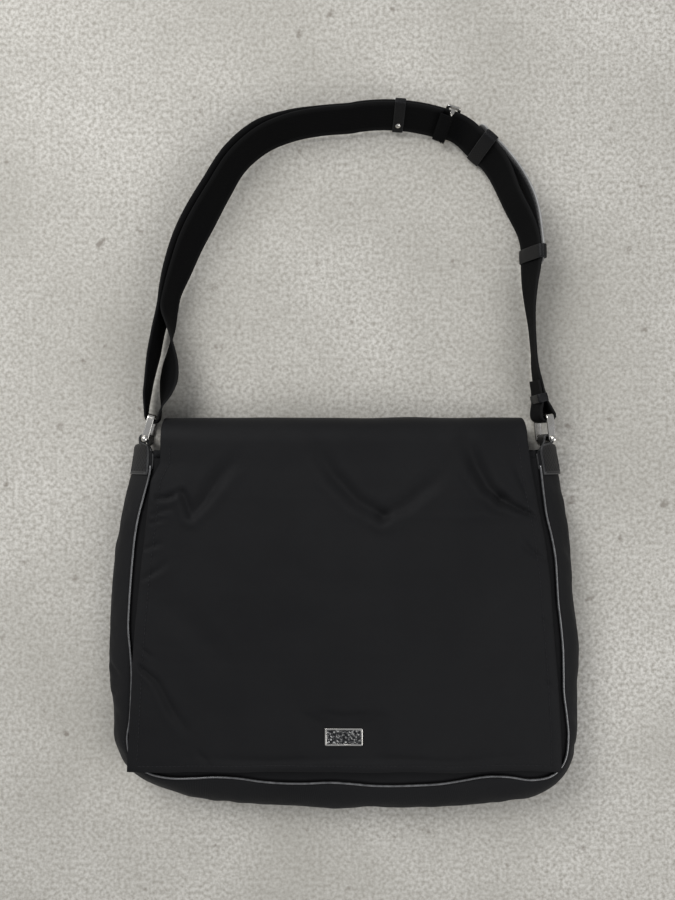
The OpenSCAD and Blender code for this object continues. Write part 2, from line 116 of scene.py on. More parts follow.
# %% A small kit for building a finish
class Finish:
    def __init__(self, name, colour, roughness):
        self.material = bpy.data.materials.new(name)
        self.material.use_nodes = True
        self.nodes = self.material.node_tree.nodes
        self.links = self.material.node_tree.links
        self.shader = self.nodes["Principled BSDF"]
        self.coords = self.nodes.new("ShaderNodeTexCoord")
        self.colour, self.roughness = colour, roughness
        self.height = None
        self.shader.inputs["Base Color"].default_value = (*colour, 1)
        self.shader.inputs["Roughness"].default_value = roughness

    def node(self, kind, **settings):
        made = self.nodes.new(kind)
        for key, value in settings.items():
            setattr(made, key, value)
        return made

    def noise(self, scale, detail=3, space="Object"):
        made = self.node("ShaderNodeTexNoise")
        made.inputs["Scale"].default_value = scale
        made.inputs["Detail"].default_value = detail
        self.links.new(self.coords.outputs[space], made.inputs["Vector"])
        return made.outputs["Fac"]

    def lines(self, direction, period, space="UV"):
        made = self.node("ShaderNodeTexWave", bands_direction=direction)
        made.inputs["Scale"].default_value = 0.314159 / period
        self.links.new(self.coords.outputs[space], made.inputs["Vector"])
        return made.outputs["Fac"]

    def math(self, operation, a, b):
        made = self.node("ShaderNodeMath", operation=operation)
        for socket, value in zip(made.inputs, (a, b)):
            if isinstance(value, (int, float)):
                socket.default_value = value
            else:
                self.links.new(value, socket)
        return made.outputs[0]

    def spread(self, source, low, high, from_low=0.3, from_high=0.7):
        made = self.node("ShaderNodeMapRange")
        for key, value in (("From Min", from_low), ("From Max", from_high),
                           ("To Min", low), ("To Max", high)):
            made.inputs[key].default_value = value
        self.links.new(source, made.inputs["Value"])
        return made.outputs["Result"]

    def mix(self, factor, first, second):
        made = self.node("ShaderNodeMix", data_type="RGBA")
        self.links.new(factor, made.inputs["Factor"])
        for name, value in (("A", first), ("B", second)):
            socket = [s for s in made.inputs if s.name == name and s.type == "RGBA"][0]
            if isinstance(value, tuple):
                socket.default_value = (*value, 1)
            else:
                self.links.new(value, socket)
        return [s for s in made.outputs if s.type == "RGBA"][0]

    def painted(self, colour):
        self.links.new(colour, self.shader.inputs["Base Color"])

    def rough(self, value):
        self.links.new(value, self.shader.inputs["Roughness"])

    def bump(self, height, depth_mm, strength=1.0):
        made = self.node("ShaderNodeBump")
        made.inputs["Strength"].default_value = strength
        made.inputs["Distance"].default_value = depth_mm * MM
        self.links.new(height, made.inputs["Height"])
        if self.height is not None:
            self.links.new(self.height, made.inputs["Normal"])
        self.height = made.outputs["Normal"]
        self.links.new(self.height, self.shader.inputs["Normal"])

    def constant(self, **values):
        for key, value in values.items():
            self.shader.inputs[key.replace("_", " ")].default_value = value


# %% [markdown]
# ### Cloth
# The body is a tight nylon twill: threads about half a millimetre apart that climb in diagonal
# lines, a soft sheen, and fine puckers that never iron out. The lining is the same kind of cloth,
# thinner and smoother. The webbing is woven much tighter and ribbed lengthwise, and it hardly
# shines; the light line along its edges is a painted highlight, a paler colour at the edge points.
# Real threads in the mesh would need millions of faces, so the weave is a bump pattern.

# %% Nylon, lining and webbing
def woven(name, colour, light, roughness, thread_mm, depth_mm, sheen, twill=True):
    f = Finish(name, colour, roughness)
    warp = f.lines("X", thread_mm * MM)
    weft = f.lines("DIAGONAL" if twill else "Y", thread_mm * 1.3 * MM)
    weave = f.math("MULTIPLY", warp, weft)
    handled = f.noise(14, 4)
    slubs = f.noise(260, 2)
    tint = f.mix(f.spread(handled, 0.0, 1.0), colour, light)
    lit = f.mix(f.spread(weave, 0.0, 0.45, 0.1, 0.9), tint, tuple(2.0 * c for c in light))
    f.painted(lit)
    f.rough(f.spread(f.math("ADD", handled, f.math("MULTIPLY", slubs, 0.4)),
                     roughness - 0.07, roughness + 0.07, 0.4, 1.0))
    f.bump(f.noise(95, 3), 0.35, 0.55)
    f.bump(slubs, 0.06, 0.5)
    f.bump(weave, depth_mm, 0.7)
    f.constant(Sheen_Weight=sheen, Sheen_Roughness=0.45, Specular_IOR_Level=0.11)
    return f.material


NYLON = woven("nylon_twill", (0.0058, 0.0058, 0.0064), (0.0088, 0.0088, 0.0093), 0.62, 0.55, 0.09, 0.03)
LINING = woven("lining_cloth", (0.007, 0.007, 0.0078), (0.010, 0.010, 0.011), 0.52, 0.35, 0.04, 0.03,
               twill=False)


def ribbed(name, colour, light, rib_mm, roughness, sheen):
    f = Finish(name, colour, roughness)
    ribs = f.lines("Y", rib_mm * MM)
    picks = f.lines("X", 0.9 * MM)
    weave = f.math("ADD", f.math("MULTIPLY", ribs, 0.7), f.math("MULTIPLY", picks, 0.3))
    handled = f.noise(30, 3)
    tint = f.mix(f.spread(handled, 0.0, 1.0), colour, light)
    skin = f.mix(f.spread(weave, 0.0, 0.5, 0.2, 0.9), tint, tuple(1.9 * c for c in light))
    # The marked edge points are painted paler (0.014): a painted highlight along the webbing's edges.
    wear_and_highlight = f.node("ShaderNodeAttribute", attribute_name="wear_and_highlight").outputs["Fac"]
    f.painted(f.mix(f.math("MULTIPLY", wear_and_highlight, 0.6), skin, (0.014, 0.014, 0.014)))
    f.rough(f.spread(handled, roughness - 0.06, roughness + 0.06))
    f.bump(f.noise(420, 2), 0.05, 0.4)
    f.bump(weave, 0.18, 0.8)
    f.constant(Sheen_Weight=sheen, Sheen_Roughness=0.5, Specular_IOR_Level=0.10)
    return f.material


WEBBING = ribbed("strap_webbing", (0.0014, 0.0014, 0.0015), (0.0026, 0.0026, 0.0027), 1.5, 0.88, 0.0)
BINDING = ribbed("binding_tape", (0.005, 0.005, 0.0055), (0.008, 0.008, 0.0085), 0.9, 0.7, 0.03)


def twisted_thread(name, colour, roughness):
    f = Finish(name, colour, roughness)
    twist = f.lines("DIAGONAL", 0.5 * MM, "Object")
    f.painted(f.mix(twist, colour, tuple(2 * c for c in colour)))
    f.rough(f.spread(twist, roughness - 0.1, roughness + 0.05))
    f.bump(twist, 0.05)
    f.constant(Specular_IOR_Level=0.3)
    return f.material


THREAD = twisted_thread("sewing_thread", (0.006, 0.006, 0.007), 0.6)

# %% [markdown]
# ### Leather and piping
# The tabs, keepers and pad are black leather pressed with a fine crossed grain. Where the leather
# is cut and rubbed its edge turns grey, so each leather mesh carries an edge number per point,
# high at its edges, and the finish mixes in a paler, smoother tone there. On the pad that tone is
# much paler: its painted leather edge plus a painted highlight where the edge catches the light.
# The piping is a thin coated cord that catches the light as one bright line.

# %% Leather and piping
def cross_grain(name, colour, ridge, worn_and_highlit, roughness, grain_mm):
    f = Finish(name, colour, roughness)
    one = f.lines("DIAGONAL", grain_mm * MM)
    turned = f.node("ShaderNodeMapping")
    turned.inputs["Rotation"].default_value = (0, 0, math.radians(90))
    f.links.new(f.coords.outputs["UV"], turned.inputs["Vector"])
    other = f.node("ShaderNodeTexWave", bands_direction="DIAGONAL")
    other.inputs["Scale"].default_value = 0.314159 / (grain_mm * MM)
    f.links.new(turned.outputs["Vector"], other.inputs["Vector"])
    grain = f.math("MAXIMUM", one, other.outputs["Fac"])
    pores = f.noise(900, 3)
    rubbed = f.noise(60, 4)
    # Edge points mix in the pale edge colour: rubbed grey on tabs and keepers; on the pad, painted edge
    # plus painted highlight.
    wear_and_highlight = f.node("ShaderNodeAttribute", attribute_name="wear_and_highlight").outputs["Fac"]
    edge = f.math("MULTIPLY", wear_and_highlight, f.spread(rubbed, 0.5, 1.0))
    skin = f.mix(f.math("MULTIPLY", f.spread(grain, 0.0, 1.0, 0.35, 1.0), f.spread(rubbed, 0.3, 1)),
                 colour, ridge)
    f.painted(f.mix(edge, skin, worn_and_highlit))
    f.rough(f.math("SUBTRACT", f.spread(rubbed, roughness - 0.08, roughness + 0.08),
                   f.math("MULTIPLY", edge, 0.12)))
    f.bump(rubbed, 0.5, 0.4)
    f.bump(pores, 0.05, 0.5)
    f.bump(grain, 0.14, 0.8)
    f.constant(Specular_IOR_Level=0.22, Coat_Weight=0.03, Coat_Roughness=0.35)
    return f.material


LEATHER = cross_grain("grained_leather", (0.003, 0.003, 0.0035), (0.020, 0.020, 0.021),
                      (0.06, 0.06, 0.06), 0.46, 2.0)
# The pad's pale edge colour (0.42) is its painted leather edge plus a painted highlight along it.
PAD_LEATHER = cross_grain("pad_leather", (0.007, 0.007, 0.0075), (0.014, 0.014, 0.015),
                          (0.42, 0.42, 0.41), 0.5, 1.3)
KEEPER_LEATHER = cross_grain("keeper_leather", (0.003, 0.003, 0.0035), (0.008, 0.008, 0.0085),
                             (0.035, 0.035, 0.035), 0.5, 1.3)


def coated_cord(name, colour, light):
    f = Finish(name, colour, 0.3)
    streaks = f.noise(240, 3)
    f.painted(f.mix(f.spread(streaks, 0, 1), colour, light))
    f.rough(f.spread(streaks, 0.16, 0.3))
    f.bump(streaks, 0.08, 0.4)
    f.constant(Coat_Weight=0.9, Coat_Roughness=0.16, Specular_IOR_Level=0.9)
    return f.material


PIPING = coated_cord("coated_piping", (0.05, 0.05, 0.052), (0.12, 0.12, 0.122))

# %% [markdown]
# ### Metal
# The rings, pins, slider and snap are polished nickel with fine scratches along the stock. The
# badge is a nickel frame round a darkened field with a plain raised pattern, and the snap's hidden
# washers are dull steel. Scratches are a noise that is drawn out in one direction.

# %% Nickel, badge field and dull steel
def metal(name, colour, dark, low, high, scratch_mm=0.02, pattern=None):
    f = Finish(name, colour, low)
    f.constant(Metallic=1.0)
    stretched = f.node("ShaderNodeMapping")
    stretched.inputs["Scale"].default_value = (1, 1, 0.06)
    f.links.new(f.coords.outputs["Object"], stretched.inputs["Vector"])
    scratches = f.node("ShaderNodeTexNoise")
    scratches.inputs["Scale"].default_value = 1600
    scratches.inputs["Detail"].default_value = 2
    f.links.new(stretched.outputs["Vector"], scratches.inputs["Vector"])
    tarnish = f.noise(120, 4)
    f.painted(f.mix(f.spread(tarnish, 0, 1, 0.45, 0.75), colour, dark))
    f.rough(f.spread(tarnish, low, high))
    f.bump(scratches.outputs["Fac"], scratch_mm, 0.6)
    if pattern:
        cells = f.node("ShaderNodeTexVoronoi")
        cells.inputs["Scale"].default_value = 1000 / pattern
        f.links.new(f.coords.outputs["Object"], cells.inputs["Vector"])
        f.painted(f.mix(f.spread(cells.outputs["Distance"], 0, 1, 0.15, 0.6), colour, dark))
        f.bump(f.spread(cells.outputs["Distance"], 1, 0, 0.1, 0.7), 0.35, 1.0)
    return f.material


NICKEL = metal("polished_nickel", (0.66, 0.64, 0.60), (0.42, 0.40, 0.36), 0.14, 0.3)
BADGE_FIELD = metal("badge_field", (0.34, 0.34, 0.33), (0.035, 0.035, 0.037), 0.25, 0.45, 0.03, 1.9)
STEEL = metal("dull_steel", (0.42, 0.42, 0.41), (0.28, 0.27, 0.26), 0.35, 0.55, 0.04)
print("finishes:", len(bpy.data.materials))


# %% Floor
def concrete(name):
    f = Finish(name, (0.50, 0.50, 0.49), 0.8)
    patches = f.mix(f.spread(f.noise(6, 10), 0, 1, 0.32, 0.68), (0.46, 0.445, 0.40), (0.66, 0.64, 0.59))
    grit = f.mix(f.spread(f.noise(330, 9), 0, 1, 0.36, 0.72), patches, (0.33, 0.31, 0.27))
    f.painted(f.mix(f.spread(f.noise(60, 9), 0, 0.8, 0.66, 0.74), grit, (0.22, 0.195, 0.165)))
    f.bump(f.noise(180, 3), 0.4, 0.5)
    return f.material


floor_mesh = bpy.data.meshes.new("floor")
floor_mesh.from_pydata([(-3, -3, -0.0002), (3, -3, -0.0002), (3, 3, -0.0002), (-3, 3, -0.0002)],
                       [], [(0, 1, 2, 3)])
floor = bpy.data.objects.new("floor", floor_mesh)
floor_mesh.materials.append(concrete("pale_floor"))
scene.collection.objects.link(floor)
floor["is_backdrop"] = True


# %% [markdown]
# ## How the meshes are made
# Almost everything on a bag is either a sheet or a strip. A sheet is a grid of points that is given
# the cloth's thickness on both sides of it. A strip is one cross-section that is carried along a
# line, with its width and its outer side told at every point. Both write the length along the
# cloth into UVs, which the weaves use. Blender's Solidify and curve bevels could do the same, but
# points made in code can also carry creases, stitches, worn edges and edges marked for a painted
# highlight in the right places.

# %% Sheets and strips
def make_piece(name, points, faces, finish, slot, body=None, stands_for=(), uv=None, wear_and_highlight=None,
               reshape=None):
    points = np.array(points, float)
    if reshape:
        points = reshape(points)
    mesh = bpy.data.meshes.new(name)
    mesh.from_pydata((points * MM).tolist(), [], faces)
    mesh.polygons.foreach_set("use_smooth", [True] * len(mesh.polygons))
    if uv is not None:
        layer = mesh.uv_layers.new(name="length")
        corner = np.empty(len(mesh.loops), int)
        mesh.loops.foreach_get("vertex_index", corner)
        layer.data.foreach_set("uv", (np.asarray(uv, float)[corner] * MM).ravel())
    # The per-point edge number marks worn edges, and edges that get a painted highlight.
    if wear_and_highlight is not None:
        worn_and_highlit = mesh.attributes.new("wear_and_highlight", "FLOAT", "POINT")
        worn_and_highlit.data.foreach_set("value", np.asarray(wear_and_highlight, np.float32))
    mesh.materials.append(finish)
    mesh.update()
    piece = bpy.data.objects.new(name, mesh)
    scene.collection.objects.link(piece)
    if stands_for:
        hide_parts(*stands_for)
    if body:
        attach(piece, body)
    return piece


def unit(v):
    return v / np.maximum(np.linalg.norm(v, axis=-1, keepdims=True), 1e-9)


def grid_normals(grid):
    down, right = np.gradient(grid, axis=0), np.gradient(grid, axis=1)
    return unit(np.cross(right, down))


def grid_faces(rows, cols, start=0, flip=False):
    i, j = np.meshgrid(np.arange(rows - 1), np.arange(cols - 1), indexing="ij")
    a = (start + i * cols + j).ravel()
    quads = np.stack([a, a + 1, a + cols + 1, a + cols], 1)
    return (quads[:, ::-1] if flip else quads).tolist()


def cloth_lengths(grid):
    along = np.cumsum(np.r_[np.zeros((1, grid.shape[1])),
                            np.linalg.norm(np.diff(grid, axis=0), axis=2)], axis=0)
    across = np.cumsum(np.c_[np.zeros((grid.shape[0], 1)),
                             np.linalg.norm(np.diff(grid, axis=1), axis=2)], axis=1)
    return np.stack([across, along], 2)


def make_sheet(name, grid, thickness, finish, slot, wear_and_highlight=None, **where):
    rows, cols = grid.shape[:2]
    n = grid_normals(grid)
    upper, lower = grid + n * thickness / 2, grid - n * thickness / 2
    points = np.r_[upper.reshape(-1, 3), lower.reshape(-1, 3)]
    half = rows * cols
    faces = grid_faces(rows, cols, 0, True) + grid_faces(rows, cols, half)
    rim = (list(range(cols)) + [i * cols + cols - 1 for i in range(1, rows)]
           + [(rows - 1) * cols + j for j in range(cols - 2, -1, -1)]
           + [i * cols for i in range(rows - 2, 0, -1)])
    faces += [[a, b, b + half, a + half] for a, b in zip(rim, rim[1:] + rim[:1])]
    uv = cloth_lengths(grid).reshape(-1, 2)
    return make_piece(name, points, faces, finish, slot, uv=np.r_[uv, uv],
                      wear_and_highlight=None if wear_and_highlight is None else np.r_[wear_and_highlight.ravel(), wear_and_highlight.ravel()], **where)


def make_strip(name, line, across, out, section, finish, slot, scale=None, closed=False, wear_and_highlight=None,
               **where):
    """section is a closed list of (across, out); scale gives its size at each point of the line."""
    line, section = np.asarray(line, float), np.asarray(section, float)
    scale = np.ones((len(line), 2)) if scale is None else np.asarray(scale, float)
    k = len(section)
    ring = (line[:, None] + across[:, None] * (section[:, 0] * scale[:, :1])[..., None]
            + out[:, None] * (section[:, 1] * scale[:, 1:])[..., None])
    rows = len(line)
    faces = []
    for i in range(rows if closed else rows - 1):
        a, b = i * k, ((i + 1) % rows) * k
        faces += [[a + j, a + (j + 1) % k, b + (j + 1) % k, b + j] for j in range(k)]
    if not closed:
        faces += [list(range(k))[::-1], [(rows - 1) * k + j for j in range(k)]]
    run = np.r_[0, np.cumsum(np.linalg.norm(np.diff(line, axis=0), axis=1))]
    girth = np.r_[0, np.cumsum(np.linalg.norm(np.diff(section, axis=0), axis=1))]
    uv = np.stack([np.repeat(run, k), np.tile(girth, rows)], 1)
    return make_piece(name, ring.reshape(-1, 3), faces, finish, slot, uv=uv,
                      wear_and_highlight=None if wear_and_highlight is None else np.tile(wear_and_highlight, rows), **where)


def round_corners(half_width, half_height, radius, steps):
    """The four rounded corners of a rectangle, anticlockwise, each in steps + 1 points."""
    points = []
    for cx, cy, start in ((1, 1, 0), (-1, 1, 90), (-1, -1, 180), (1, -1, 270)):
        for s in range(steps + 1):
            a = math.radians(start + 90 * s / steps)
            points.append([cx * (half_width - radius) + radius * math.cos(a),
                           cy * (half_height - radius) + radius * math.sin(a)])
    return points


def rounded_section(width, thickness, radius, steps=3, crown=0.0):
    """A rectangle with rounded corners, optionally thicker in the middle."""
    points = round_corners(width / 2, thickness / 2, min(radius, thickness / 2, width / 2), steps)
    full = []
    for p, q in zip(points, points[1:] + points[:1]):
        full.append(p)
        if abs(q[0] - p[0]) > width * 0.4:
            full += [[p[0] + (q[0] - p[0]) * t,
                      p[1] + math.copysign(crown, p[1]) * math.sin(math.pi * t)]
                     for t in np.linspace(0, 1, 8)[1:-1]]
    return np.array(full)


def smooth_line(points, spacing):
    """A Catmull-Rom line through the points, walked at an even spacing."""
    p = np.asarray(points, float)
    padded = np.r_[p[:1], p, p[-1:]]
    fine = []
    for i in range(len(p) - 1):
        a, b, c, d = padded[i:i + 4]
        for t in np.linspace(0, 1, 12, endpoint=False):
            fine.append(0.5 * (2 * b + (c - a) * t + (2 * a - 5 * b + 4 * c - d) * t * t
                               + (3 * b - a - 3 * c + d) * t ** 3))
    fine = np.array(fine + [p[-1]])
    return walk(fine, spacing)


def walk(line, spacing):
    run = np.r_[0, np.cumsum(np.linalg.norm(np.diff(line[:, :3], axis=0), axis=1))]
    marks = np.linspace(0, run[-1], max(2, int(round(run[-1] / spacing)) + 1))
    return np.stack([np.interp(marks, run, line[:, c]) for c in range(line.shape[1])], 1)


def ripple(a, b, size, seed):
    """Soft uneven waves about `size` millimetres long, from -1 to 1."""
    dice = np.random.default_rng(seed)
    total = 0
    for _ in range(10):
        angle = dice.uniform(0, math.pi)
        length = size * dice.uniform(0.7, 1.6)
        shift = dice.uniform(0, 6.28)
        total = total + np.sin((a * math.cos(angle) + b * math.sin(angle)) * 6.283 / length + shift)
    return total / 5.5


# %% [markdown]
# ### Stitches
# A seam on black cloth is read from its stitches: small raised bars with a gap between them. Each
# one here is a short capsule of thread that lies along the seam and sinks its ends in the cloth.

# %% Thread
STEP = 0.45


def sew(name, line, out, body, length=2.7, gap=1.0, thick=0.34, slot="nylon"):
    line, out = np.asarray(line, float), np.asarray(out, float)
    if out.ndim == 1:
        out = np.tile(out, (len(line), 1))
    both = walk(np.c_[line, out], STEP)
    pitch = int(round((length + gap) / STEP))
    reach = int(round(length / STEP))
    points, faces = [], []
    for start in range(2, len(both) - reach - 1, pitch):
        base = len(points)
        along = unit(both[start + reach, :3] - both[start, :3])
        for s in range(5):
            at = both[start + int(round(reach * s / 4))]
            up = unit(at[3:])
            side = np.cross(along, up)
            arch = math.sin(math.pi * (0.06 + 0.88 * s / 4)) ** 0.5
            for c in range(6):
                a = math.radians(60 * c)
                turn = side * math.cos(a) + up * (math.sin(a) + 0.25)
                points.append(at[:3] + thick * arch * turn)
        for low in range(base, base + 24, 6):
            faces += [[low + c, low + (c + 1) % 6, low + 6 + (c + 1) % 6, low + 6 + c]
                      for c in range(6)]
        faces += [list(range(base, base + 6))[::-1], list(range(base + 24, base + 30))]
    make_piece(name, points, faces, THREAD, slot, body)
    print(name, len(points) // 30, "stitches")


# %% [markdown]
# ## The body's seam line
# A bag pattern starts from the line where the front panel meets the gusset. Here it runs from the
# left end of the mouth, down the left side, round the bottom and up the right side. Each station
# gives its place and how far the soft gusset bulges past it there. The bag is handmade and has
# been used, so left and right differ a little and the bottom line wanders.

# %% Seam stations
STATIONS = np.array([
    [-157.5, 150.0, 17.5], [-158.6, 131.5, 19.4], [-163.1, 114.2, 19.1], [-167.8, 96.4, 17.7],
    [-171.0, 78.1, 17.6], [-172.9, 59.6, 17.9], [-174.3, 41.1, 18.4], [-175.6, 22.5, 18.6],
    [-176.2, 4.0, 19.4], [-174.6, -14.4, 21.6], [-173.4, -32.9, 22.2], [-173.7, -51.4, 20.9],
    [-174.9, -69.9, 18.2], [-177.2, -87.7, 14.6], [-172.8, -104.0, 12.2], [-159.5, -114.0, 13.2],
    [-141.5, -118.0, 16.6], [-123.0, -118.1, 22.0], [-104.5, -117.1, 26.0], [-85.9, -118.1, 27.3],
    [-67.6, -120.8, 25.5], [-49.1, -122.3, 24.4], [-30.5, -122.4, 25.6], [-12.0, -121.6, 27.4],
    [6.5, -122.6, 26.6], [24.9, -124.3, 24.0], [43.5, -124.6, 23.7], [62.1, -123.8, 24.5],
    [80.6, -122.6, 25.6], [98.9, -119.7, 27.8], [117.2, -116.9, 29.1], [135.7, -117.1, 27.0],
    [154.1, -119.4, 21.1], [171.0, -116.0, 14.6], [181.2, -103.9, 11.2], [183.8, -85.8, 11.4],
    [182.4, -67.4, 12.9], [180.2, -49.0, 15.7], [179.9, -30.4, 16.7], [179.4, -11.9, 16.7],
    [177.7, 6.6, 17.3], [175.5, 25.1, 17.2], [174.5, 43.6, 16.4], [173.2, 62.2, 16.4],
    [170.0, 80.4, 18.0], [165.7, 98.4, 19.6], [163.3, 116.8, 19.5], [161.3, 135.3, 19.1],
    [159.0, 150.0, 18.6]])
seam = smooth_line(STATIONS, 3.0)
direction = unit(np.gradient(seam[:, :2], axis=0))
for _ in range(12):
    direction[1:-1] = unit(direction[:-2] + 2 * direction[1:-1] + direction[2:])
seam_out = np.c_[direction[:, 1], -direction[:, 0]]
seam_out *= np.sign(seam_out[5, 0] * -1)
seam_run = np.r_[0, np.cumsum(np.linalg.norm(np.diff(seam[:, :2], axis=0), axis=1))]
DEPTH = 34.0
print("seam", round(seam_run[-1]), "mm long,", len(seam), "points; gusset bulges",
      seam[:, 2].min().round(1), "to", seam[:, 2].max().round(1), "mm")

# %% [markdown]
# ## The gusset
# The side and bottom of the bag are one long strip of nylon between the two panels. Lying down, it
# bulges and slumps: it leaves the front seam in a slope, rounds over near the floor and tucks back
# under. It is lofted here, one curved cross-section at every seam station, with soft waves along it
# and a few sharper creases where the corner of the bag has been folded. A cloth simulation would
# give the same slump, but not creases in chosen places.

# %% Gusset cloth
def mouth_share(y):
    return np.clip((y - 96) / 36, 0, 1) ** 1.5


def gusset_point(i, t, lift=0.0):
    """A point of the gusset: seam index i, t from 0 at the back seam to 1 at the front seam."""
    i, t = np.asarray(i), np.asarray(t, float)
    p, out, swell = seam[i, :2], seam_out[i], seam[i, 2]
    share = mouth_share(p[..., 1])
    round_side = np.sin(np.pi * t ** 0.82) ** 0.62
    slope_side = np.sin(np.pi * np.clip(t, 0, 1) ** 0.55) ** 0.9
    reach = swell * (round_side * (1 - share) + slope_side * share)
    middle = np.sin(np.pi * t)
    run = seam_run[i]
    slump = 1.1 * ripple(run, 30 * t, 60, 3) + 0.45 * ripple(run, 60 * t, 17, 5)
    for at, depth, width, skew in GUSSET_CREASES:
        slump = slump - depth * np.exp(-((run - at - skew * (t - 0.9)) / width) ** 2
                                       - ((t - 0.78) / 0.22) ** 2)
    reach = reach + slump * middle * (1 - 0.7 * share)
    z = 1.0 + (DEPTH + 0.4 - 1.0) * t
    flat = p + out * (reach + lift)[..., None]
    return np.concatenate([flat, z[..., None]], -1)


def run_at(side, y):
    """The seam length at which one side passes the height y."""
    half = len(seam) // 2
    part = slice(0, half) if side < 0 else slice(half, len(seam))
    return float(seam_run[part][np.argmin(abs(seam[part, 1] - y))])


GUSSET_CREASES = [(run_at(side, y), depth, width, skew) for side, y, depth, width, skew in (
    (-1, -36, 3.4, 3.4, 30), (-1, -40, 3.0, 3.2, 4), (-1, -46, 3.0, 3.2, -26), (-1, -70, 1.5, 4.0, 10),
    (-1, 96, 1.2, 5, 24), (-1, -98, 2.2, 4, 8), (1, -98, 2.0, 4, -8), (1, -70, 1.5, 4.5, 16),
    (1, 70, 1.8, 5, 26), (1, 122, 1.2, 4, -10))]
levels = np.r_[0, 0.03, 0.07, np.linspace(0.12, 0.88, 17), 0.93, 0.97, 1.0]
ii, tt = np.meshgrid(np.arange(len(seam)), levels, indexing="ij")
gusset_grid = gusset_point(ii, tt)
gusset = make_sheet("gusset_cloth", gusset_grid[::-1], 1.1, NYLON, "nylon", body="body",
                    stands_for=["gusset"])
print("gusset reaches", gusset_grid[..., 0].min().round(1), "to", gusset_grid[..., 0].max().round(1))

# %% [markdown]
# ## Front and back panels
# Each panel is one piece of cloth inside the seam line. A sheet whose four edges are curves can be
# filled by blending between opposite edges, which keeps the rows of points even. The front panel is
# crowned a little by what the bag holds; the back panel lies flat on the floor and runs on to the
# fold of the flap.

# %% Panels
def fill_between(left, right, bottom, top, rows, cols):
    u, v = np.linspace(0, 1, cols), np.linspace(0, 1, rows)

    def spread_out(edge, marks):
        run = np.r_[0, np.cumsum(np.linalg.norm(np.diff(edge, axis=0), axis=1))]
        return np.stack([np.interp(marks * run[-1], run, edge[:, c]) for c in range(2)], 1)

    l, r, b, t = spread_out(left, v), spread_out(right, v), spread_out(bottom, u), spread_out(top, u)
    U, V = u[None, :, None], v[:, None, None]
    return ((1 - U) * l[:, None] + U * r[:, None] + (1 - V) * b[None] + V * t[None]
            - ((1 - U) * (1 - V) * b[0] + U * (1 - V) * b[-1] + (1 - U) * V * t[0] + U * V * t[-1]))


def inside_seam(inset, mouth, rows, cols):
    line = seam[:, :2] - seam_out * inset
    low = np.where(seam[:, 1] < -92)[0]
    first, last = low[0] + 4, low[-1] - 4
    left, bottom, right = line[:first + 1][::-1], line[first:last + 1], line[last:]
    left[-1, 1] = right[-1, 1] = mouth
    return fill_between(left, right, bottom, np.array([left[-1], right[-1]]), rows, cols)


front = inside_seam(0.2, 150, 92, 116)
x, y = front[..., 0], front[..., 1]
edge_u = np.sin(np.pi * np.linspace(0, 1, 116))[None] ** 0.5
edge_v = np.sin(np.pi * np.clip(np.linspace(0, 1, 92), 0, 0.9) / 1.0)[:, None] ** 0.5
front_z = DEPTH - 1.4 + 0.5 * edge_u * edge_v + 0.35 * ripple(x, y, 70, 11) * edge_u
front_grid = np.dstack([front, front_z])
front_panel = make_sheet("front_panel_cloth", front_grid[::-1], 1.1, NYLON, "nylon", body="body",
                         stands_for=["front_panel"])
back = inside_seam(0.2, 150, 60, 80)
back_grid = np.dstack([back, 0.75 + 0.15 * (1 + ripple(back[..., 0], back[..., 1], 60, 12))])
strip = np.dstack(np.meshgrid(np.linspace(-150.5, 150.5, 80), [153.5, 157.5]))
back_grid = np.r_[back_grid, np.dstack([strip, np.full((2, 80), 0.8)])]
back_panel = make_sheet("back_panel_cloth", back_grid[::-1], 1.0, NYLON, "nylon", body="body",
                        stands_for=["back_panel"])
print("front panel", (x.max() - x.min()).round(), "x", (y.max() - y.min()).round(), "mm")

# %% [markdown]
# ## Piping
# The front and back seams are finished with thin coated cord. It is sewn in by hand against the
# edge, so it rises, dips and wanders by a fraction of a millimetre, and that broken line of light
# is what makes it look sewn. Each is a round strip carried along the seam.

# %% Piping cords
def piping(name, line, radius, body, stands_for):
    around = [[radius * math.cos(a), radius * math.sin(a)] for a in np.linspace(0, 2 * math.pi, 11)[:-1]]
    tangent = unit(np.gradient(line, axis=0))
    up = np.tile([0.0, 0, 1], (len(line), 1))
    side = unit(np.cross(tangent, up))
    return make_strip(name, line, side, np.cross(side, tangent), around, PIPING, "piping", body=body,
                      stands_for=stands_for)


wander = 0.14 * ripple(seam_run, 0 * seam_run, 48, 21)
front_line = np.c_[seam[:, :2] + seam_out * (0.6 + wander)[:, None],
                   DEPTH + 1.1 + 0.15 * ripple(seam_run, 0 * seam_run, 55, 22)]
under_tabs = np.where(seam[:, 1] < 140)[0]
piping("front_piping_cord", walk(front_line[under_tabs[0]:under_tabs[-1] + 1], 2.2), 0.85, "body",
       ["front_piping"])
back_line = np.c_[gusset_point(np.arange(len(seam)), np.full(len(seam), 0.05), 1.7)[:, :2],
                  np.full(len(seam), 1.55)]
piping("back_piping_cord", back_line, 1.2, "body", ["back_piping"])
topstitch = gusset_point(np.arange(len(seam)), np.full(len(seam), 0.965), 0.6)
sew("gusset_topstitch", topstitch[8:-8], unit(np.c_[seam_out, np.full(len(seam), 0.8)])[8:-8], "body",
    2.6, 1.1, 0.24)

# %% [markdown]
# ## The flap
# The flap is one large sheet that starts behind the mouth, rolls over the fold and hangs to the
# bottom of the bag. What makes it look like cloth is its surface: it billows a little over what lies
# under it, sags in a wide V below the fold where the strap pulls on both ends, and puckers along
# its turned and stitched edges. These are modelled as heights above the flat pattern, each drawn
# along its own line. A free cloth simulation would crease it in random places instead.

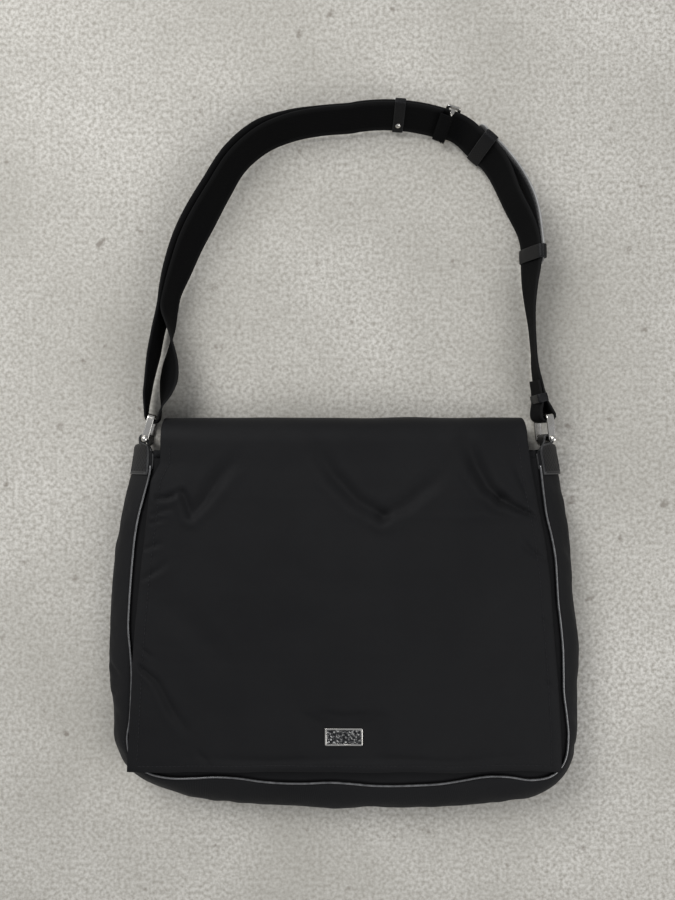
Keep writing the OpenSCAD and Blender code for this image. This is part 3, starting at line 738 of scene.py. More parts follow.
# %% Flap pattern
FLAP_LEFT = np.array([[-112, -177.0], [-53, -173.6], [-21, -172.0], [29, -167.9], [59, -165.1],
                      [76, -162.8], [109, -159.2], [126, -157.2], [134, -153.2], [140, -149.8],
                      [158, -149.5], [180, -149.5]])
FLAP_RIGHT = np.array([[-112, 177.3], [-82, 177.1], [-40, 174.5], [4, 171.2], [48, 167.5], [79, 163.4],
                       [107, 157.6], [130, 153.9], [149, 151.4], [158, 150.2], [180, 150.0]])
FOLD_Y, FOLD_Z, FOLD_R, HEM_Y = 158.0, 20.0, 19.2, -111.5
back_lap, half_turn = 5.0, math.pi * FOLD_R
top_length = FOLD_Y - HEM_Y
row_marks = np.r_[np.linspace(-back_lap, 0, 3)[:-1], np.linspace(0, half_turn, 26)[:-1],
                  half_turn + np.r_[np.linspace(0, top_length - 14, 112)[:-1],
                                    np.linspace(top_length - 14, top_length, 15)]]
column_marks = np.r_[np.linspace(0, 0.042, 13)[:-1], np.linspace(0.042, 0.958, 128),
                     np.linspace(0.958, 1, 13)[1:]]
EDGE_BAND, HEM_BAND = 8.0, 5.0


def flap_profile(s):
    """Height line of the flap, cut along its length: y, z and the outer side's y, z."""
    if s < 0:
        return FOLD_Y + s, FOLD_Z - FOLD_R, 0.0, -1.0
    if s < half_turn:
        a = s / FOLD_R - math.pi / 2
        return FOLD_Y + FOLD_R * math.cos(a), FOLD_Z + FOLD_R * math.sin(a), math.cos(a), math.sin(a)
    return FOLD_Y - (s - half_turn), FOLD_Z + FOLD_R, 0.0, 1.0


def near_line(x, y, line):
    """Distance to a line of points, its sign, and how far along the line the nearest place is."""
    line = np.array(line, float)
    legs = np.hypot(*np.diff(line, axis=0).T)
    best, sign, share = np.full(x.shape, 1e9), np.ones(x.shape), np.zeros(x.shape)
    for k, ((ax, ay), (bx, by)) in enumerate(zip(line, line[1:])):
        dx, dy = bx - ax, by - ay
        t = np.clip(((x - ax) * dx + (y - ay) * dy) / (dx * dx + dy * dy), 0, 1)
        d = np.hypot(x - ax - t * dx, y - ay - t * dy)
        closer = d < best
        best = np.where(closer, d, best)
        sign = np.where(closer, np.sign((x - ax) * dy - (y - ay) * dx), sign)
        share = np.where(closer, (legs[:k].sum() + t * legs[k]) / legs.sum(), share)
    return best, sign, share


def soft_fold(x, y, line, depth, widths, ends):
    """A valley along the line with a ridge beside it; it may narrow and fade towards either end."""
    d, sign, share = near_line(x, y, line)
    width = 0.74 * (widths[0] + (widths[1] - widths[0]) * share)
    deep = 1.15 * depth * (ends[0] + (1 - ends[0]) * np.clip(share / 0.35, 0, 1))
    deep = deep * (ends[1] + (1 - ends[1]) * np.clip((1 - share) / 0.35, 0, 1))
    ridge = np.where(sign > 0, 0.34, 0.12)
    return deep * (-np.exp(-(d / width) ** 2) + ridge * np.exp(-((d - 1.9 * width) / width) ** 2))


FOLDS = [  # line, depth, width at both ends, share of the depth left at both ends
    ([(-20, 150), (-8, 130), (10, 110), (32, 97)], 3.4, (9.0, 6.5), (0.2, 0.9)),
    ([(32, 97), (50, 106), (70, 122), (84, 138)], 3.0, (6.5, 9.0), (0.9, 0.1)),
    ([(-153, 111), (-143, 112), (-134, 117)], 2.6, (2.0, 3.4), (0.9, 0.3)),
    ([(-131, 116), (-124, 98), (-114, 110), (-102, 128), (-88, 144)], 3.0, (4.0, 8.0), (0.8, 0.1)),
    ([(102, 156), (108, 138), (118, 120), (128, 111)], 4.2, (9.0, 6.0), (0.3, 0.9)),
    ([(128, 111), (140, 104), (155, 97)], 3.6, (5.5, 2.0), (0.9, 0.6)),
    ([(-166, -26), (-152, -38), (-140, -61), (-129, -76)], 2.6, (2.6, 5.0), (0.9, 0.3)),
    ([(-164, -11), (-155, -19)], 1.5, (1.8, 2.4), (0.9, 0.2)),
    ([(-120, -93), (-109, -107)], 1.1, (3.0, 3.0), (0.3, 0.6)),
    ([(-20, -62), (0, -67), (24, -63)], 1.5, (3.5, 3.5), (0.2, 0.2)),
    ([(-156, 98), (-140, 103)], 1.2, (2.0, 3.0), (0.9, 0.1)),
    ([(-157, 91), (-144, 96)], 0.9, (1.8, 2.6), (0.9, 0.1)),
    ([(-162, 70), (-148, 75)], 1.2, (2.0, 3.0), (0.9, 0.1)),
    ([(-163, 46), (-150, 54), (-143, 62)], 1.3, (2.4, 4.0), (0.8, 0.1)),
    ([(163, 62), (150, 70), (142, 82)], 1.2, (2.4, 4.0), (0.8, 0.1)),
    ([(170, 8), (158, 14)], 0.9, (2.0, 3.0), (0.9, 0.1)),
    ([(174, -44), (160, -36)], 0.9, (2.0, 3.0), (0.9, 0.1)),
    ([(-70, 62), (-20, 42), (30, 36), (84, 50)], 1.1, (18, 18), (0.1, 0.1)),
    ([(-150, 30), (-120, 4), (-88, -32)], 1.1, (13, 13), (0.3, 0.1)),
    ([(150, 30), (122, -8), (92, -50)], 1.1, (13, 13), (0.3, 0.1)),
    ([(-130, -99), (-60, -103), (10, -100), (90, -103), (150, -98)], 1.1, (4.5, 4.5), (0.3, 0.3)),
    ([(136, 150), (143, 130), (151, 110)], 1.2, (4.5, 3.0), (0.1, 0.5)),
]


def flap_height(x, y, edge, hem):
    """How far the flap stands off its pattern; edge and hem are distances to its sides and hem."""
    inner = np.clip(edge / 40, 0, 1) * np.clip(hem / 40, 0, 1)
    h = 1.3 + 2.2 * inner ** 0.7
    for line, depth, widths, ends in FOLDS:
        h = h + soft_fold(x, y, line, depth, widths, ends)
    h = (h + 0.75 * ripple(x, y, 95, 31) * inner + 0.32 * ripple(x, y, 38, 32)
         + 0.10 * ripple(x, y, 13, 33))
    seam_d = np.minimum(edge - EDGE_BAND, hem - HEM_BAND)
    puckers = ripple(x * 0.35, y, 7.5, 34) * np.exp(-((edge - EDGE_BAND) / 5.0) ** 2)
    puckers = puckers + ripple(x, y * 0.35, 9, 35) * np.exp(-((hem - HEM_BAND) / 4.5) ** 2)
    h = h + 0.22 * puckers - 0.16 * np.exp(-(seam_d / 1.0) ** 2)
    h = h + 0.35 / (1 + np.exp(np.clip(seam_d * 2.2, -40, 40)))
    h = h + np.exp(-(hem / 9) ** 2) * 0.9 * ripple(x, 0 * x, 62, 36)
    h = h - 0.8 * np.exp(-(np.minimum(edge, hem) / 2.2) ** 2)
    h = h * (1 - 0.9 * np.clip((y - 118) / 22, 0, 1) * np.exp(-(edge / 22) ** 2))
    plate = np.clip(np.maximum(abs(x) / 21, abs(y + 83) / 12.5) - 0.85, 0, 1) / 0.9
    plate = np.clip(plate, 0, 1) ** 1.2
    return h * plate + 0.55 * (1 - plate)


def flap_grid(marks, columns, shift=0.0, inset=0.0):
    rows = []
    for s in marks:
        y, z, ny, nz = flap_profile(s)
        left, right = np.interp(y, *FLAP_LEFT.T) + inset, np.interp(y, *FLAP_RIGHT.T) - inset
        roll = max(0.0, 1 - abs(s - half_turn / 2) / (half_turn / 2)) if 0 < s < half_turn else 0.0
        left, right = left + 1.2 * roll ** 2, right - 2.2 * roll ** 2
        x = left + (right - left) * columns
        hem = half_turn + top_length - s
        wave = np.exp(-(hem / 14) ** 2) * 1.1 * ripple(x, 0 * x, 75, 37)
        side = np.exp(-(np.minimum(columns, 1 - columns) / 0.03) ** 2) * 0.5
        side = side * ripple(0 * x + s, 0 * x, 48, 38)
        edge = np.minimum(x - left, right - x) + inset
        h = flap_height(x, np.full_like(x, y), edge, np.full_like(x, hem))
        on_top = np.clip((s - half_turn * 0.55) / (half_turn * 0.45), 0, 1) if s < half_turn else 1.0
        round_fold = ripple(x, 0 * x + 0.4 * s, 55, 39) if s > 0 else 0 * x
        h = h * on_top + (1 - on_top) * 0.7 * round_fold + shift
        wave = wave * nz * (s > half_turn)
        rows.append(np.stack([x + side * on_top, y + wave + h * ny, z + h * nz], 1))
    return np.array(rows)


outer_grid = flap_grid(row_marks, column_marks)
print("flap stands", (outer_grid[..., 2].max() - 39.2).round(1), "mm over its pattern at most")

# %% Flap cloth and lining
flap_cloth = make_sheet("flap_cloth", outer_grid, 1.1, NYLON, "nylon",
                        stands_for=["flap_shell", "flap_fold"])
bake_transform(flap_cloth)
lining_marks = half_turn + np.linspace(1.0, top_length - 1.5, 90)
lining_grid = flap_grid(lining_marks, np.linspace(0, 1, 100), shift=-1.45, inset=1.2)
lining_grid[..., 2] -= np.exp(-(lining_grid[..., 0] / 17) ** 4 - ((lining_grid[..., 1] + 76) / 21) ** 4)
flap_lining = make_sheet("flap_lining_cloth", lining_grid, 0.6, LINING, "lining", body="flap",
                         stands_for=["flap_lining"])


# %% Stitches along the flap
def on_flap(s, x):
    """A point just on the flap's outer face, at a length s and a place x across it."""
    ny, nz = flap_profile(s)[2:]
    i = int(np.clip(np.searchsorted(row_marks, s) - 1, 0, len(row_marks) - 2))
    f = (s - row_marks[i]) / (row_marks[i + 1] - row_marks[i])
    row = outer_grid[i] * (1 - f) + outer_grid[i + 1] * f
    return np.array([x, np.interp(x, row[:, 0], row[:, 1]) + ny * 0.6,
                     np.interp(x, row[:, 0], row[:, 2]) + nz * 0.6])


def side_x(s, side, inset):
    edge_line = FLAP_LEFT if side < 0 else FLAP_RIGHT
    return float(np.interp(flap_profile(s)[0], *edge_line.T)) - side * inset


last = half_turn + top_length - HEM_BAND
for side, label in ((-1, "left"), (1, "right")):
    down = [on_flap(s, side_x(s, side, EDGE_BAND)) for s in np.arange(half_turn + 1, last, 2.0)]
    sew(f"flap_stitches_{label}", down, [0, 0, 1], "flap")
hem_x = np.arange(side_x(last, -1, EDGE_BAND), side_x(last, 1, EDGE_BAND), 2.0)
across = [on_flap(last, x) for x in hem_x]
sew("flap_stitches_hem", across, [0, 0, 1], "flap")

# %% [markdown]
# ## Linings and the mouth's binding
# Inside, the bag has a thin lining that is cut like the outside and hangs a little slack. The front
# panel's mouth edge is bound with a ribbed tape that is folded over both cloths and sewn through.

# %% Linings
lining_front = inside_seam(2.6, 149.5, 46, 60)
lf = np.dstack([lining_front, DEPTH - 3.4 + 0.35 * ripple(*np.moveaxis(lining_front, 2, 0), 42, 41)])
piece = make_sheet("lining_front_cloth", lf[::-1], 0.6, LINING, "lining", body="body",
                   stands_for=["lining_front"])
lining_back = inside_seam(2.6, 149.5, 46, 60)
lb = np.dstack([lining_back, 2.3 + 0.3 * (1 + ripple(*np.moveaxis(lining_back, 2, 0), 42, 42))])
piece = make_sheet("lining_back_cloth", lb[::-1], 0.6, LINING, "lining", body="body",
                   stands_for=["lining_back"])
inner_levels = np.linspace(0.09, 0.9, 15)
ii, tt = np.meshgrid(np.arange(len(seam)), inner_levels, indexing="ij")
slack = -2.3 - 0.5 * (1 + ripple(seam_run[ii], 40 * tt, 30, 43)) * np.sin(np.pi * tt)
lg = gusset_point(ii, tt) + np.dstack([seam_out[ii] * slack[..., None], 0 * slack])
piece = make_sheet("lining_gusset_cloth", lg[::-1], 0.6, LINING, "lining", body="body",
                   stands_for=["lining_gusset"])

# %% Mouth binding
tape_x = np.linspace(-156.2, 157.6, 120)
tape_line = np.stack([tape_x, 149.9 + 0.3 * ripple(tape_x, 0 * tape_x, 50, 44),
                      DEPTH - 2.0 + 0.2 * ripple(tape_x, 0 * tape_x, 40, 45)], 1)
fold_over = np.array([[-5.2, 2.15], [-2.5, 2.3], [0, 2.2], [0.6, 1.6], [0.8, 0], [0.6, -1.6], [0, -2.2],
                      [-2.5, -2.3], [-5.2, -2.15], [-5.2, -1.7], [-2.5, -1.8], [0, -1.7], [0.3, 0],
                      [0, 1.7], [-2.5, 1.8], [-5.2, 1.7]])
ones = np.ones(len(tape_x))
make_strip("mouth_binding_tape", tape_line, np.stack([0 * ones, ones, 0 * ones], 1),
           np.stack([0 * ones, 0 * ones, ones], 1), fold_over, BINDING, "binding", body="body",
           stands_for=["mouth_binding"])
sew("binding_stitches", tape_line[2:-2] + np.array([0, -3.9, 2.3]), [0, 0, 1], "body", 2.4, 1.0, 0.26)

# %% [markdown]
# ## Leather tabs
# Each end of the gusset is closed by a leather strip that is folded in half round the ring's pin
# and sewn through. Its outer leg lies on the sloping gusset, and between the bag and the pin it
# twists until it stands upright, as the pin does. The strip is a grid too: rows along its length,
# each row a line across its width, first on the gusset's own surface and then round the pin.

# %% Tabs
PIN_Z, PIN_Y = 19.0, 160.0


def gusset_at(side, y, t, lift):
    half = len(seam) // 2
    order = np.arange(half) if side < 0 else np.arange(half, len(seam))
    i = order[np.argmin(abs(seam[order, 1] - y))]
    j = min(max(i + (1 if seam[i, 1] > y else -1) * (1 if side < 0 else -1), 0), len(seam) - 1)
    a, b = gusset_point(np.full(t.shape, i), t, lift), gusset_point(np.full(t.shape, j), t, lift)
    f = 0 if i == j else (y - seam[i, 1]) / (seam[j, 1] - seam[i, 1])
    row = a * (1 - f) + b * f
    row[..., 1] = y
    return row


def leather_tab(name, side, pin_x, node):
    across = np.linspace(0, 1, 13)
    heights = PIN_Z + 12 - 24 * across
    levels = 0.985 - 0.60 * across
    rows = [gusset_at(side, y, levels, 1.75) for y in np.arange(130.5, 148.6, 1.5)]
    turn = 3.3

    def upright(angle):
        a = math.radians(angle)
        x = pin_x + side * turn * math.cos(a)
        return np.stack([np.full(13, x), np.full(13, PIN_Y + turn * math.sin(a)), heights], 1)

    neck = upright(0)
    neck[:, 1] -= 3.0
    for f, ease in ((0.25, 0.02), (0.5, 0.05), (0.72, 0.14), (0.86, 0.55), (1.0, 1.0)):
        row = rows[12] * (1 - ease) + neck * ease
        row[:, 1] = rows[12][:, 1] * (1 - f) + neck[:, 1] * f
        rows.append(row)
    rows += [upright(a) for a in range(0, 181, 20)]
    inner = [gusset_at(side, y, levels, -1.9) for y in np.arange(147.0, 134.0, -2.0)]
    last = upright(180)
    last[:, 1] -= 3.0
    rows.append(last)
    rows += [last * (1 - f) + inner[0] * f for f in (0.33, 0.66)] + inner
    grid = np.array(rows)
    if side < 0:
        grid = grid[:, ::-1]
    wear_and_highlight = np.zeros(grid.shape[:2])
    wear_and_highlight[:2] = 1.0
    wear_and_highlight[:, :1] = wear_and_highlight[:, -1:] = 0.75
    wear_and_highlight[18:26] = np.maximum(wear_and_highlight[18:26], 0.25)
    tab = make_sheet(name, grid, 1.7, LEATHER, "leather", wear_and_highlight=wear_and_highlight, stands_for=[node])
    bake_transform(tab)
    normal = grid_normals(grid)
    low = [grid[1, c] + normal[1, c] * 0.9 for c in range(1, 12)]
    sew(f"{name}_stitches_end", low, normal[1, 1:12], "body", 1.7, 0.7, 0.26, slot="leather")
    for c, label in ((1, "upper"), (11, "lower")):
        line = [grid[r, c] + normal[r, c] * 0.9 for r in range(1, 12)]
        sew(f"{name}_stitches_{label}", line, normal[1:12, c], "body", 1.7, 0.7, 0.26, slot="leather")


leather_tab("tab_left_leather", -1, -165.0, "tab_left")
leather_tab("tab_right_leather", 1, 169.0, "tab_right")

# %% [markdown]
# ## Rings and pins
# Each ring is flat nickel stock bent into a narrow rectangle that is open at the bag's end, where a
# pin with a ball on each end closes it. The stock is carried round the bends as one strip, so its
# corners are round inside and out and its ends narrow to an eye. The pin is turned, so its outline
# is spun round its own axis.

# %% Rings
def turned(name, outline, base, finish, slot, body, stands_for, tilt=None, reshape=None):
    """outline is a list of (radius, height) that is spun round an upright axis at base."""
    steps = 28
    points, faces = [], []
    for r, h in outline:
        for s in range(steps):
            a = 2 * math.pi * s / steps
            points.append([r * math.cos(a), r * math.sin(a), h])
    for i in range(len(outline) - 1):
        faces += [[i * steps + s, i * steps + (s + 1) % steps, (i + 1) * steps + (s + 1) % steps,
                   (i + 1) * steps + s] for s in range(steps)]
    faces += [list(range(steps))[::-1], [(len(outline) - 1) * steps + s for s in range(steps)]]
    points = np.array(points)
    points = tilt(points) if tilt else points + np.array(base)
    return make_piece(name, points, faces, finish, slot, body, stands_for, reshape=reshape)


def ring_slant(points):
    """The rings lean a little to the right, and what is looped through them leans with them."""
    share = np.clip((232 - points[:, 1]) / 24, 0, 1) * (points[:, 1] > 100)
    points[:, 0] += (points[:, 2] - PIN_Z) * math.tan(math.radians(6.5)) * share
    return points


def ring_and_pin(label, side, pin_x, degrees, body):
    outward = np.array([-math.sin(math.radians(degrees)) * side, math.cos(math.radians(degrees)), 0])
    flat = np.array([outward[1], -outward[0], 0])
    half, bend = 17.25, 3.2
    path = [(-2.6, half), (0, half), (4, half), (10, half), (20 - bend, half)]
    path += [(20 - bend + bend * math.sin(a), half - bend + bend * math.cos(a))
             for a in np.linspace(0, math.pi / 2, 7)[1:]]
    path += [(20, z) for z in (8, 0, -8)]
    path += [(p[0], -p[1]) for p in path[:11][::-1]]
    path = np.array(path)
    line = np.array([pin_x, PIN_Y, PIN_Z]) + path[:, :1] * outward + path[:, 1:] * np.array([0, 0, 1])
    tangent = unit(np.gradient(line, axis=0))
    across = np.tile(flat, (len(line), 1))
    scale = np.ones((len(line), 2))
    scale[0, 0] = scale[-1, 0] = 0.62
    section = rounded_section(6.0, 2.3, 0.7)
    make_strip(f"ring_{label}_frame", line, across, np.cross(tangent, across), section, NICKEL,
               "nickel", scale=scale, body=body, stands_for=[f"ring_frame_{label}"], reshape=ring_slant)
    shaft = [[0.3, -18.9], [2.0, -18.9], [2.6, -18.4], [2.0, -17.9], [1.95, -17]]
    shaft += [[1.95, z] for z in (-8, 0, 8, 17)] + [[2.0, 18.3]]
    shaft += [[2.75 * math.sin(a), 19.6 - 2.2 * math.cos(a)] for a in np.linspace(0.9, 3.1, 10)]
    turned(f"ring_{label}_pin", shaft, (pin_x, PIN_Y, PIN_Z), NICKEL, "nickel", body,
           [f"ring_pin_{label}"], reshape=ring_slant)


ring_and_pin("left", -1, -165.0, 16, "left_ring")
ring_and_pin("right", 1, 169.0, 6, "right_ring")

# %% [markdown]
# ## The webbing strap
# The strap is one length of 30 mm webbing. It starts as a short stub sewn above the right ring,
# turns round the ring, climbs under the pad and the slider, turns round the left ring and runs back
# on itself to the slider, so the left half is doubled. It stands almost on edge, as heavy webbing
# does when it is laid in a loop. It is modelled directly as one strip along its route; a cloth
# simulation would make so narrow and stiff a strap fall over.

# %% Strap route
MOUTH = 150.0


def on_arc(centre, radius, degrees):
    a = math.radians(degrees)
    return centre[0] + radius * math.cos(a), centre[1] + radius * math.sin(a)


LOOP_R = 3.0 + 20 * math.sin(math.radians(3)) + 0.8 + 0.8
BAR_RIGHT = (169 - 20 * math.sin(math.radians(6)), 160 + 20 * math.cos(math.radians(6)))
BAR_LEFT = (-165 + 20 * math.sin(math.radians(16)), 160 + 20 * math.cos(math.radians(16)))
TOP_ARC, TOP_R, TOP_Z, TOP_LEAN = (35, MOUTH + 124), 159.0, 15.9, 58
PAD_ARC, PAD_R, PAD_Z = (34.5, MOUTH + 161.5), 123, 16.8


def bar_loop(bar, start, stop):
    return [[*on_arc(bar, LOOP_R, a), PIN_Z, 90] for a in np.linspace(start, stop, 7)]


def past_mouth(points):
    return [[p[0], MOUTH + p[1], p[2], p[3]] for p in points]


stub = [[160.4, 59, 17.6, 87], [161.8, 49, 18.4, 88], [162.3, 41, 19, 90], [161.5, 35, 19, 90]]
right_run = [[169.4, 36, 19, 90], [165.9, 42, 19, 90], [164.1, 50, 18.4, 92], [162.5, 60, 17.6, 94],
             [160.7, 71, 17, 94], [159.6, 86, 16.6, 93], [158.2, 105, 16.4, 91],
             [156.9, 122, 16.4, 85], [156.6, 139, 16.5, 76]]
between = [[103.6, 265.4, 16.3, 57]]
left_high = [[-20, 278.0, 15.8, 58], [-45, 273.8, 15.6, 58], [-70, 264.5, 15.5, 59],
             [-92, 245.5, 16.2, 60], [-108, 220, 16.4, 57], [-121.5, 196, 16.2, 52],
             [-131.5, 176, 16.4, 55], [-140, 153.5, 16.8, 62], [-146, 135, 17.2, 70]]
left_run = [[-150.4, 121, 17.4, 77], [-155.6, 100, 17.4, 80], [-160.6, 73, 17.6, 80],
            [-164.2, 50, 18.4, 82], [-165, 38, 19, 87]]
return_run = [[-152, 38, 19, 84], [-149, 48, 18, 68], [-146.3, 61, 17, 57], [-145.2, 75, 16.6, 60],
              [-144.8, 90, 16.4, 76], [-145.2, 105, 16.2, 95], [-146.4, 120, 16.2, 109]]


def pad_share(degrees):
    return math.sin(math.pi * min(1.0, max(0.0, (degrees - 5.5) / 39.5))) ** 2


def pad_lean(degrees):
    """The strap stands more upright near the lower loop than near the upper one."""
    t = min(1.0, max(0.0, (degrees - 6) / 18))
    return 68 - 11 * t * t * (3 - 2 * t)


pad_stretch = [[*on_arc(PAD_ARC, PAD_R - 5 * pad_share(a), a), PAD_Z, pad_lean(a) + 9 * pad_share(a)]
               for a in np.linspace(-3, 52, 12)]
top_stretch = [[*on_arc(TOP_ARC, TOP_R, 67.5 + 2.8 * k), TOP_Z, TOP_LEAN] for k in range(13)]


def inner_side(points):
    f = unit(np.gradient(points[:, :2], axis=0))
    return np.stack([f[:, 1], -f[:, 0]], 1)


doubled = np.array(top_stretch[2:] + past_mouth(left_high))
side_way = inner_side(doubled)
LAYER = 1.9
lean = np.radians(doubled[:, 3])
slip = np.interp(doubled[:, 0], [-150, -140, -75, -30, 0], [1.4, 2.7, 2.7, 0, 0])[:, None]
across_way = np.c_[side_way * np.cos(lean)[:, None], np.sin(lean), 0 * lean]
second = np.c_[doubled[:, :2] - side_way * (LAYER * np.sin(lean))[:, None],
               doubled[:, 2] + LAYER * np.cos(lean), 180 - doubled[:, 3]]
second = (second - slip * across_way)[::-1]
doubled = doubled + slip * across_way
first_part = past_mouth(stub) + bar_loop(BAR_RIGHT, 180, 360) + past_mouth(right_run)
middle = pad_stretch + past_mouth(between) + top_stretch[:2] + doubled.tolist() + past_mouth(left_run)
last_part = bar_loop(BAR_LEFT, 180, 368) + past_mouth(return_run) + second.tolist()
route = smooth_line(first_part + middle + last_part, 2.4)
flow = unit(np.gradient(route[:, :2], axis=0))
o = np.stack([flow[:, 1], -flow[:, 0]], 1)
lean = np.radians(route[:, 3])
web_across = np.c_[o * np.cos(lean)[:, None], np.sin(lean)]
web_out = np.c_[o * np.sin(lean)[:, None], -np.cos(lean)]
strap_length = np.linalg.norm(np.diff(route[:, :3], axis=0), axis=1).sum()
print("webbing", round(strap_length), "mm long")

# %% Webbing
edge = rounded_section(30.0, 1.5, 0.7, 3, crown=0.08)
# The points at the webbing's two edges get the webbing finish's painted highlight.
make_strip("strap_webbing_ribbed", route[:, :3], web_across, web_out, edge, WEBBING, "webbing",
           body="strap", stands_for=["strap_webbing"], reshape=ring_slant,
           wear_and_highlight=(abs(edge[:, 0]) > 14.2).astype(float))
for k, label in ((3, "a"), (5, "b")):
    bars = [route[k, :3] + web_across[k] * a - web_out[k] * 0.85 for a in np.linspace(-12, 12, 30)]
    sew(f"stub_stitches_{label}", bars, -web_out[k], "strap", 2.4, 0.9, 0.3, slot="webbing")


# %% [markdown]
# ## Keepers, slider and loops on the strap
# Leather bands hold the layers of webbing together. Each is a short strip bent round the strap and
# sewn or snapped shut, so it is made as a rounded band in the strap's own directions: along it,
# across it and out of its upper face. The same small helper places the metal slider and the snap.

# %% Leather bands
def strap_frame(centre, radius, degrees, z, lean_deg):
    """Turns local (along, across, up) millimetres into the bag's frame at a place on the strap."""
    a, l = math.radians(degrees - 90), math.radians(lean_deg)
    x_axis = np.array([math.cos(a), math.sin(a), 0])
    y_axis = np.array([-math.sin(a) * math.cos(l), math.cos(a) * math.cos(l), math.sin(l)])
    z_axis = np.cross(x_axis, y_axis)
    origin = np.array([*on_arc(centre, radius, degrees), z])
    return origin, np.array([x_axis, y_axis, z_axis])


def placed(where, local):
    origin, axes = where
    return origin + np.asarray(local, float) @ axes


def leather_band(name, where, width, across, low, high, thick, body, node, corner, bow):
    """A rounded band that leaves room `across` by `high - low` inside it."""
    corners = np.array(round_corners((across + thick) / 2, (high - low + thick) / 2, corner, 5))
    loop = []
    for k in range(4):
        loop += list(corners[6 * k:6 * k + 6])
        start, stop = corners[6 * k + 5], corners[(6 * k + 6) % 24]
        outward = np.array([math.cos(math.radians(90 * k + 90)), math.sin(math.radians(90 * k + 90))])
        loop += [start + (stop - start) * t + outward * bow * math.sin(math.pi * t)
                 for t in np.linspace(0, 1, 8)[1:-1]]
    loop = np.array(loop)
    middle = (low + high) / 2
    line = placed(where, np.c_[np.zeros(len(loop)), loop[:, 0], loop[:, 1] + middle])
    tangent = unit(np.roll(line, -1, 0) - np.roll(line, 1, 0))
    along = np.tile(where[1][0], (len(line), 1))
    section = rounded_section(width, thick, 0.5, 2, crown=0.12)
    rim = (abs(section[:, 0]) > width / 2 - 0.35).astype(float) * 0.8
    make_strip(name, line, along, np.cross(tangent, along), section, KEEPER_LEATHER, "leather",
               closed=True, wear_and_highlight=rim, body=body, stands_for=[node])


FACE, TWO_FACE = 0.8, 0.8 + LAYER
keeper_place = strap_frame(TOP_ARC, TOP_R, 85.8, TOP_Z, TOP_LEAN)
leather_band("snap_keeper_band", keeper_place, 9.0, 30.5, -FACE - 0.3, TWO_FACE + 0.3, 0.9,
             "snap_keeper", "keeper_band", 1.3, 0.15)
for end in (-1, 1):
    edge_line = [placed(keeper_place, (end * 3.6, y, TWO_FACE + 0.3 + 0.98))
                 for y in np.linspace(-13, 14, 40)]
    sew(f"keeper_stitches_{'left' if end > 0 else 'right'}", edge_line, keeper_place[1][2],
        "snap_keeper", 1.7, 0.8, 0.22, slot="leather")
LOOP_DEGREES = {"lower": 1.7, "upper": 48.6}
for label, degrees in LOOP_DEGREES.items():
    place = strap_frame(PAD_ARC, PAD_R, degrees, PAD_Z, pad_lean(degrees) + 2)
    leather_band(f"pad_loop_{label}_leather", place, 11.5, 33.0, -4.4, FACE + 0.5, 1.0, "pad",
                 f"pad_loop_{label}", 2.4, 0.7)
turn = math.radians(14)
end_place = (np.array([163.9, 194.0, 18.1]),
             np.array([[-math.sin(turn), math.cos(turn), 0], [0, 0, 1],
                       [math.cos(turn), math.sin(turn), 0]]))
leather_band("end_keeper_leather", end_place, 7.0, 31.2, -3.5, 3.5, 0.8, "strap", "end_keeper",
             1.8, 0.1)

# %% Snap on the keeper
def snap_disc(name, where, across, height, radius, tall, sign, node):
    outline = [[radius * 0.98, 0.0], [radius * 1.02, 0.12], [radius, tall * 0.3],
               [radius * 0.9, tall * 0.32], [radius * 0.82, tall * 0.55], [radius * 0.62, tall * 0.86],
               [radius * 0.35, tall], [0.05, tall]]

    def on_band(p):
        return placed(where, np.c_[p[:, 0], p[:, 1] + across, sign * p[:, 2] + height])

    turned(name, outline, None, NICKEL, "nickel", "snap_keeper", [node], tilt=on_band)


snap_disc("keeper_snap_dome", keeper_place, -8.5, TWO_FACE + 0.3 + 0.9, 2.2, 1.2, 1, "keeper_snap_cap")
snap_disc("keeper_snap_back", keeper_place, -8.5, -FACE - 0.3 - 0.9, 2.2, 0.8, -1, "keeper_snap_stud")

# %% [markdown]
# ## The slider
# A nickel slider sets the strap's length: a frame with two bars under the webbing, two cheeks at
# the edges, and a middle bar that the free end is sewn round. The cheeks and bars are rounded
# strips, with polished edges that catch the light.

# %% Slider
slider_place = strap_frame(TOP_ARC, TOP_R, 70.6, TOP_Z, TOP_LEAN)
low, bar_rise = -FACE - 0.5, TWO_FACE + 0.3 + 1.2 + 0.8
rim_line = placed(slider_place, [[*p, low - 1.0] for p in round_corners(5.0, 16.6, 1.4, 5)])
rim_tangent = unit(np.roll(rim_line, -1, 0) - np.roll(rim_line, 1, 0))
up = np.tile(slider_place[1][2], (len(rim_line), 1))
make_strip("slider_frame", rim_line, np.cross(up, rim_tangent), up, rounded_section(2.9, 1.9, 0.6),
           NICKEL, "nickel", closed=True, body="adjuster", stands_for=["adjuster_frame"])
for sign in (-1, 1):
    cheek_heights = (low - 1.6, low - 1.5, low - 0.3, low + 0.1,
                     bar_rise - 1, bar_rise + 0.6, bar_rise + 0.7)
    cheek = placed(slider_place, [[0, sign * 16.0, z] for z in cheek_heights])
    ones = np.ones((len(cheek), 1))
    ends = np.array([[0.93, 0.6], [0.98, 0.9], [1, 1], [0.30, 1], [0.28, 1], [0.26, 0.9], [0.2, 0.6]])
    make_strip(f"slider_cheek_{'upper' if sign > 0 else 'lower'}", cheek,
               ones * slider_place[1][0], ones * slider_place[1][1], rounded_section(12.0, 1.0, 0.4),
               NICKEL, "nickel", scale=ends, body="adjuster")
bar = placed(slider_place, [[0, y, bar_rise] for y in np.linspace(-15.9, 15.9, 9)])
ones = np.ones((9, 1))
round_bar = [[0.8 * math.cos(a), 0.8 * math.sin(a)] for a in np.linspace(0, 2 * math.pi, 13)[:-1]]
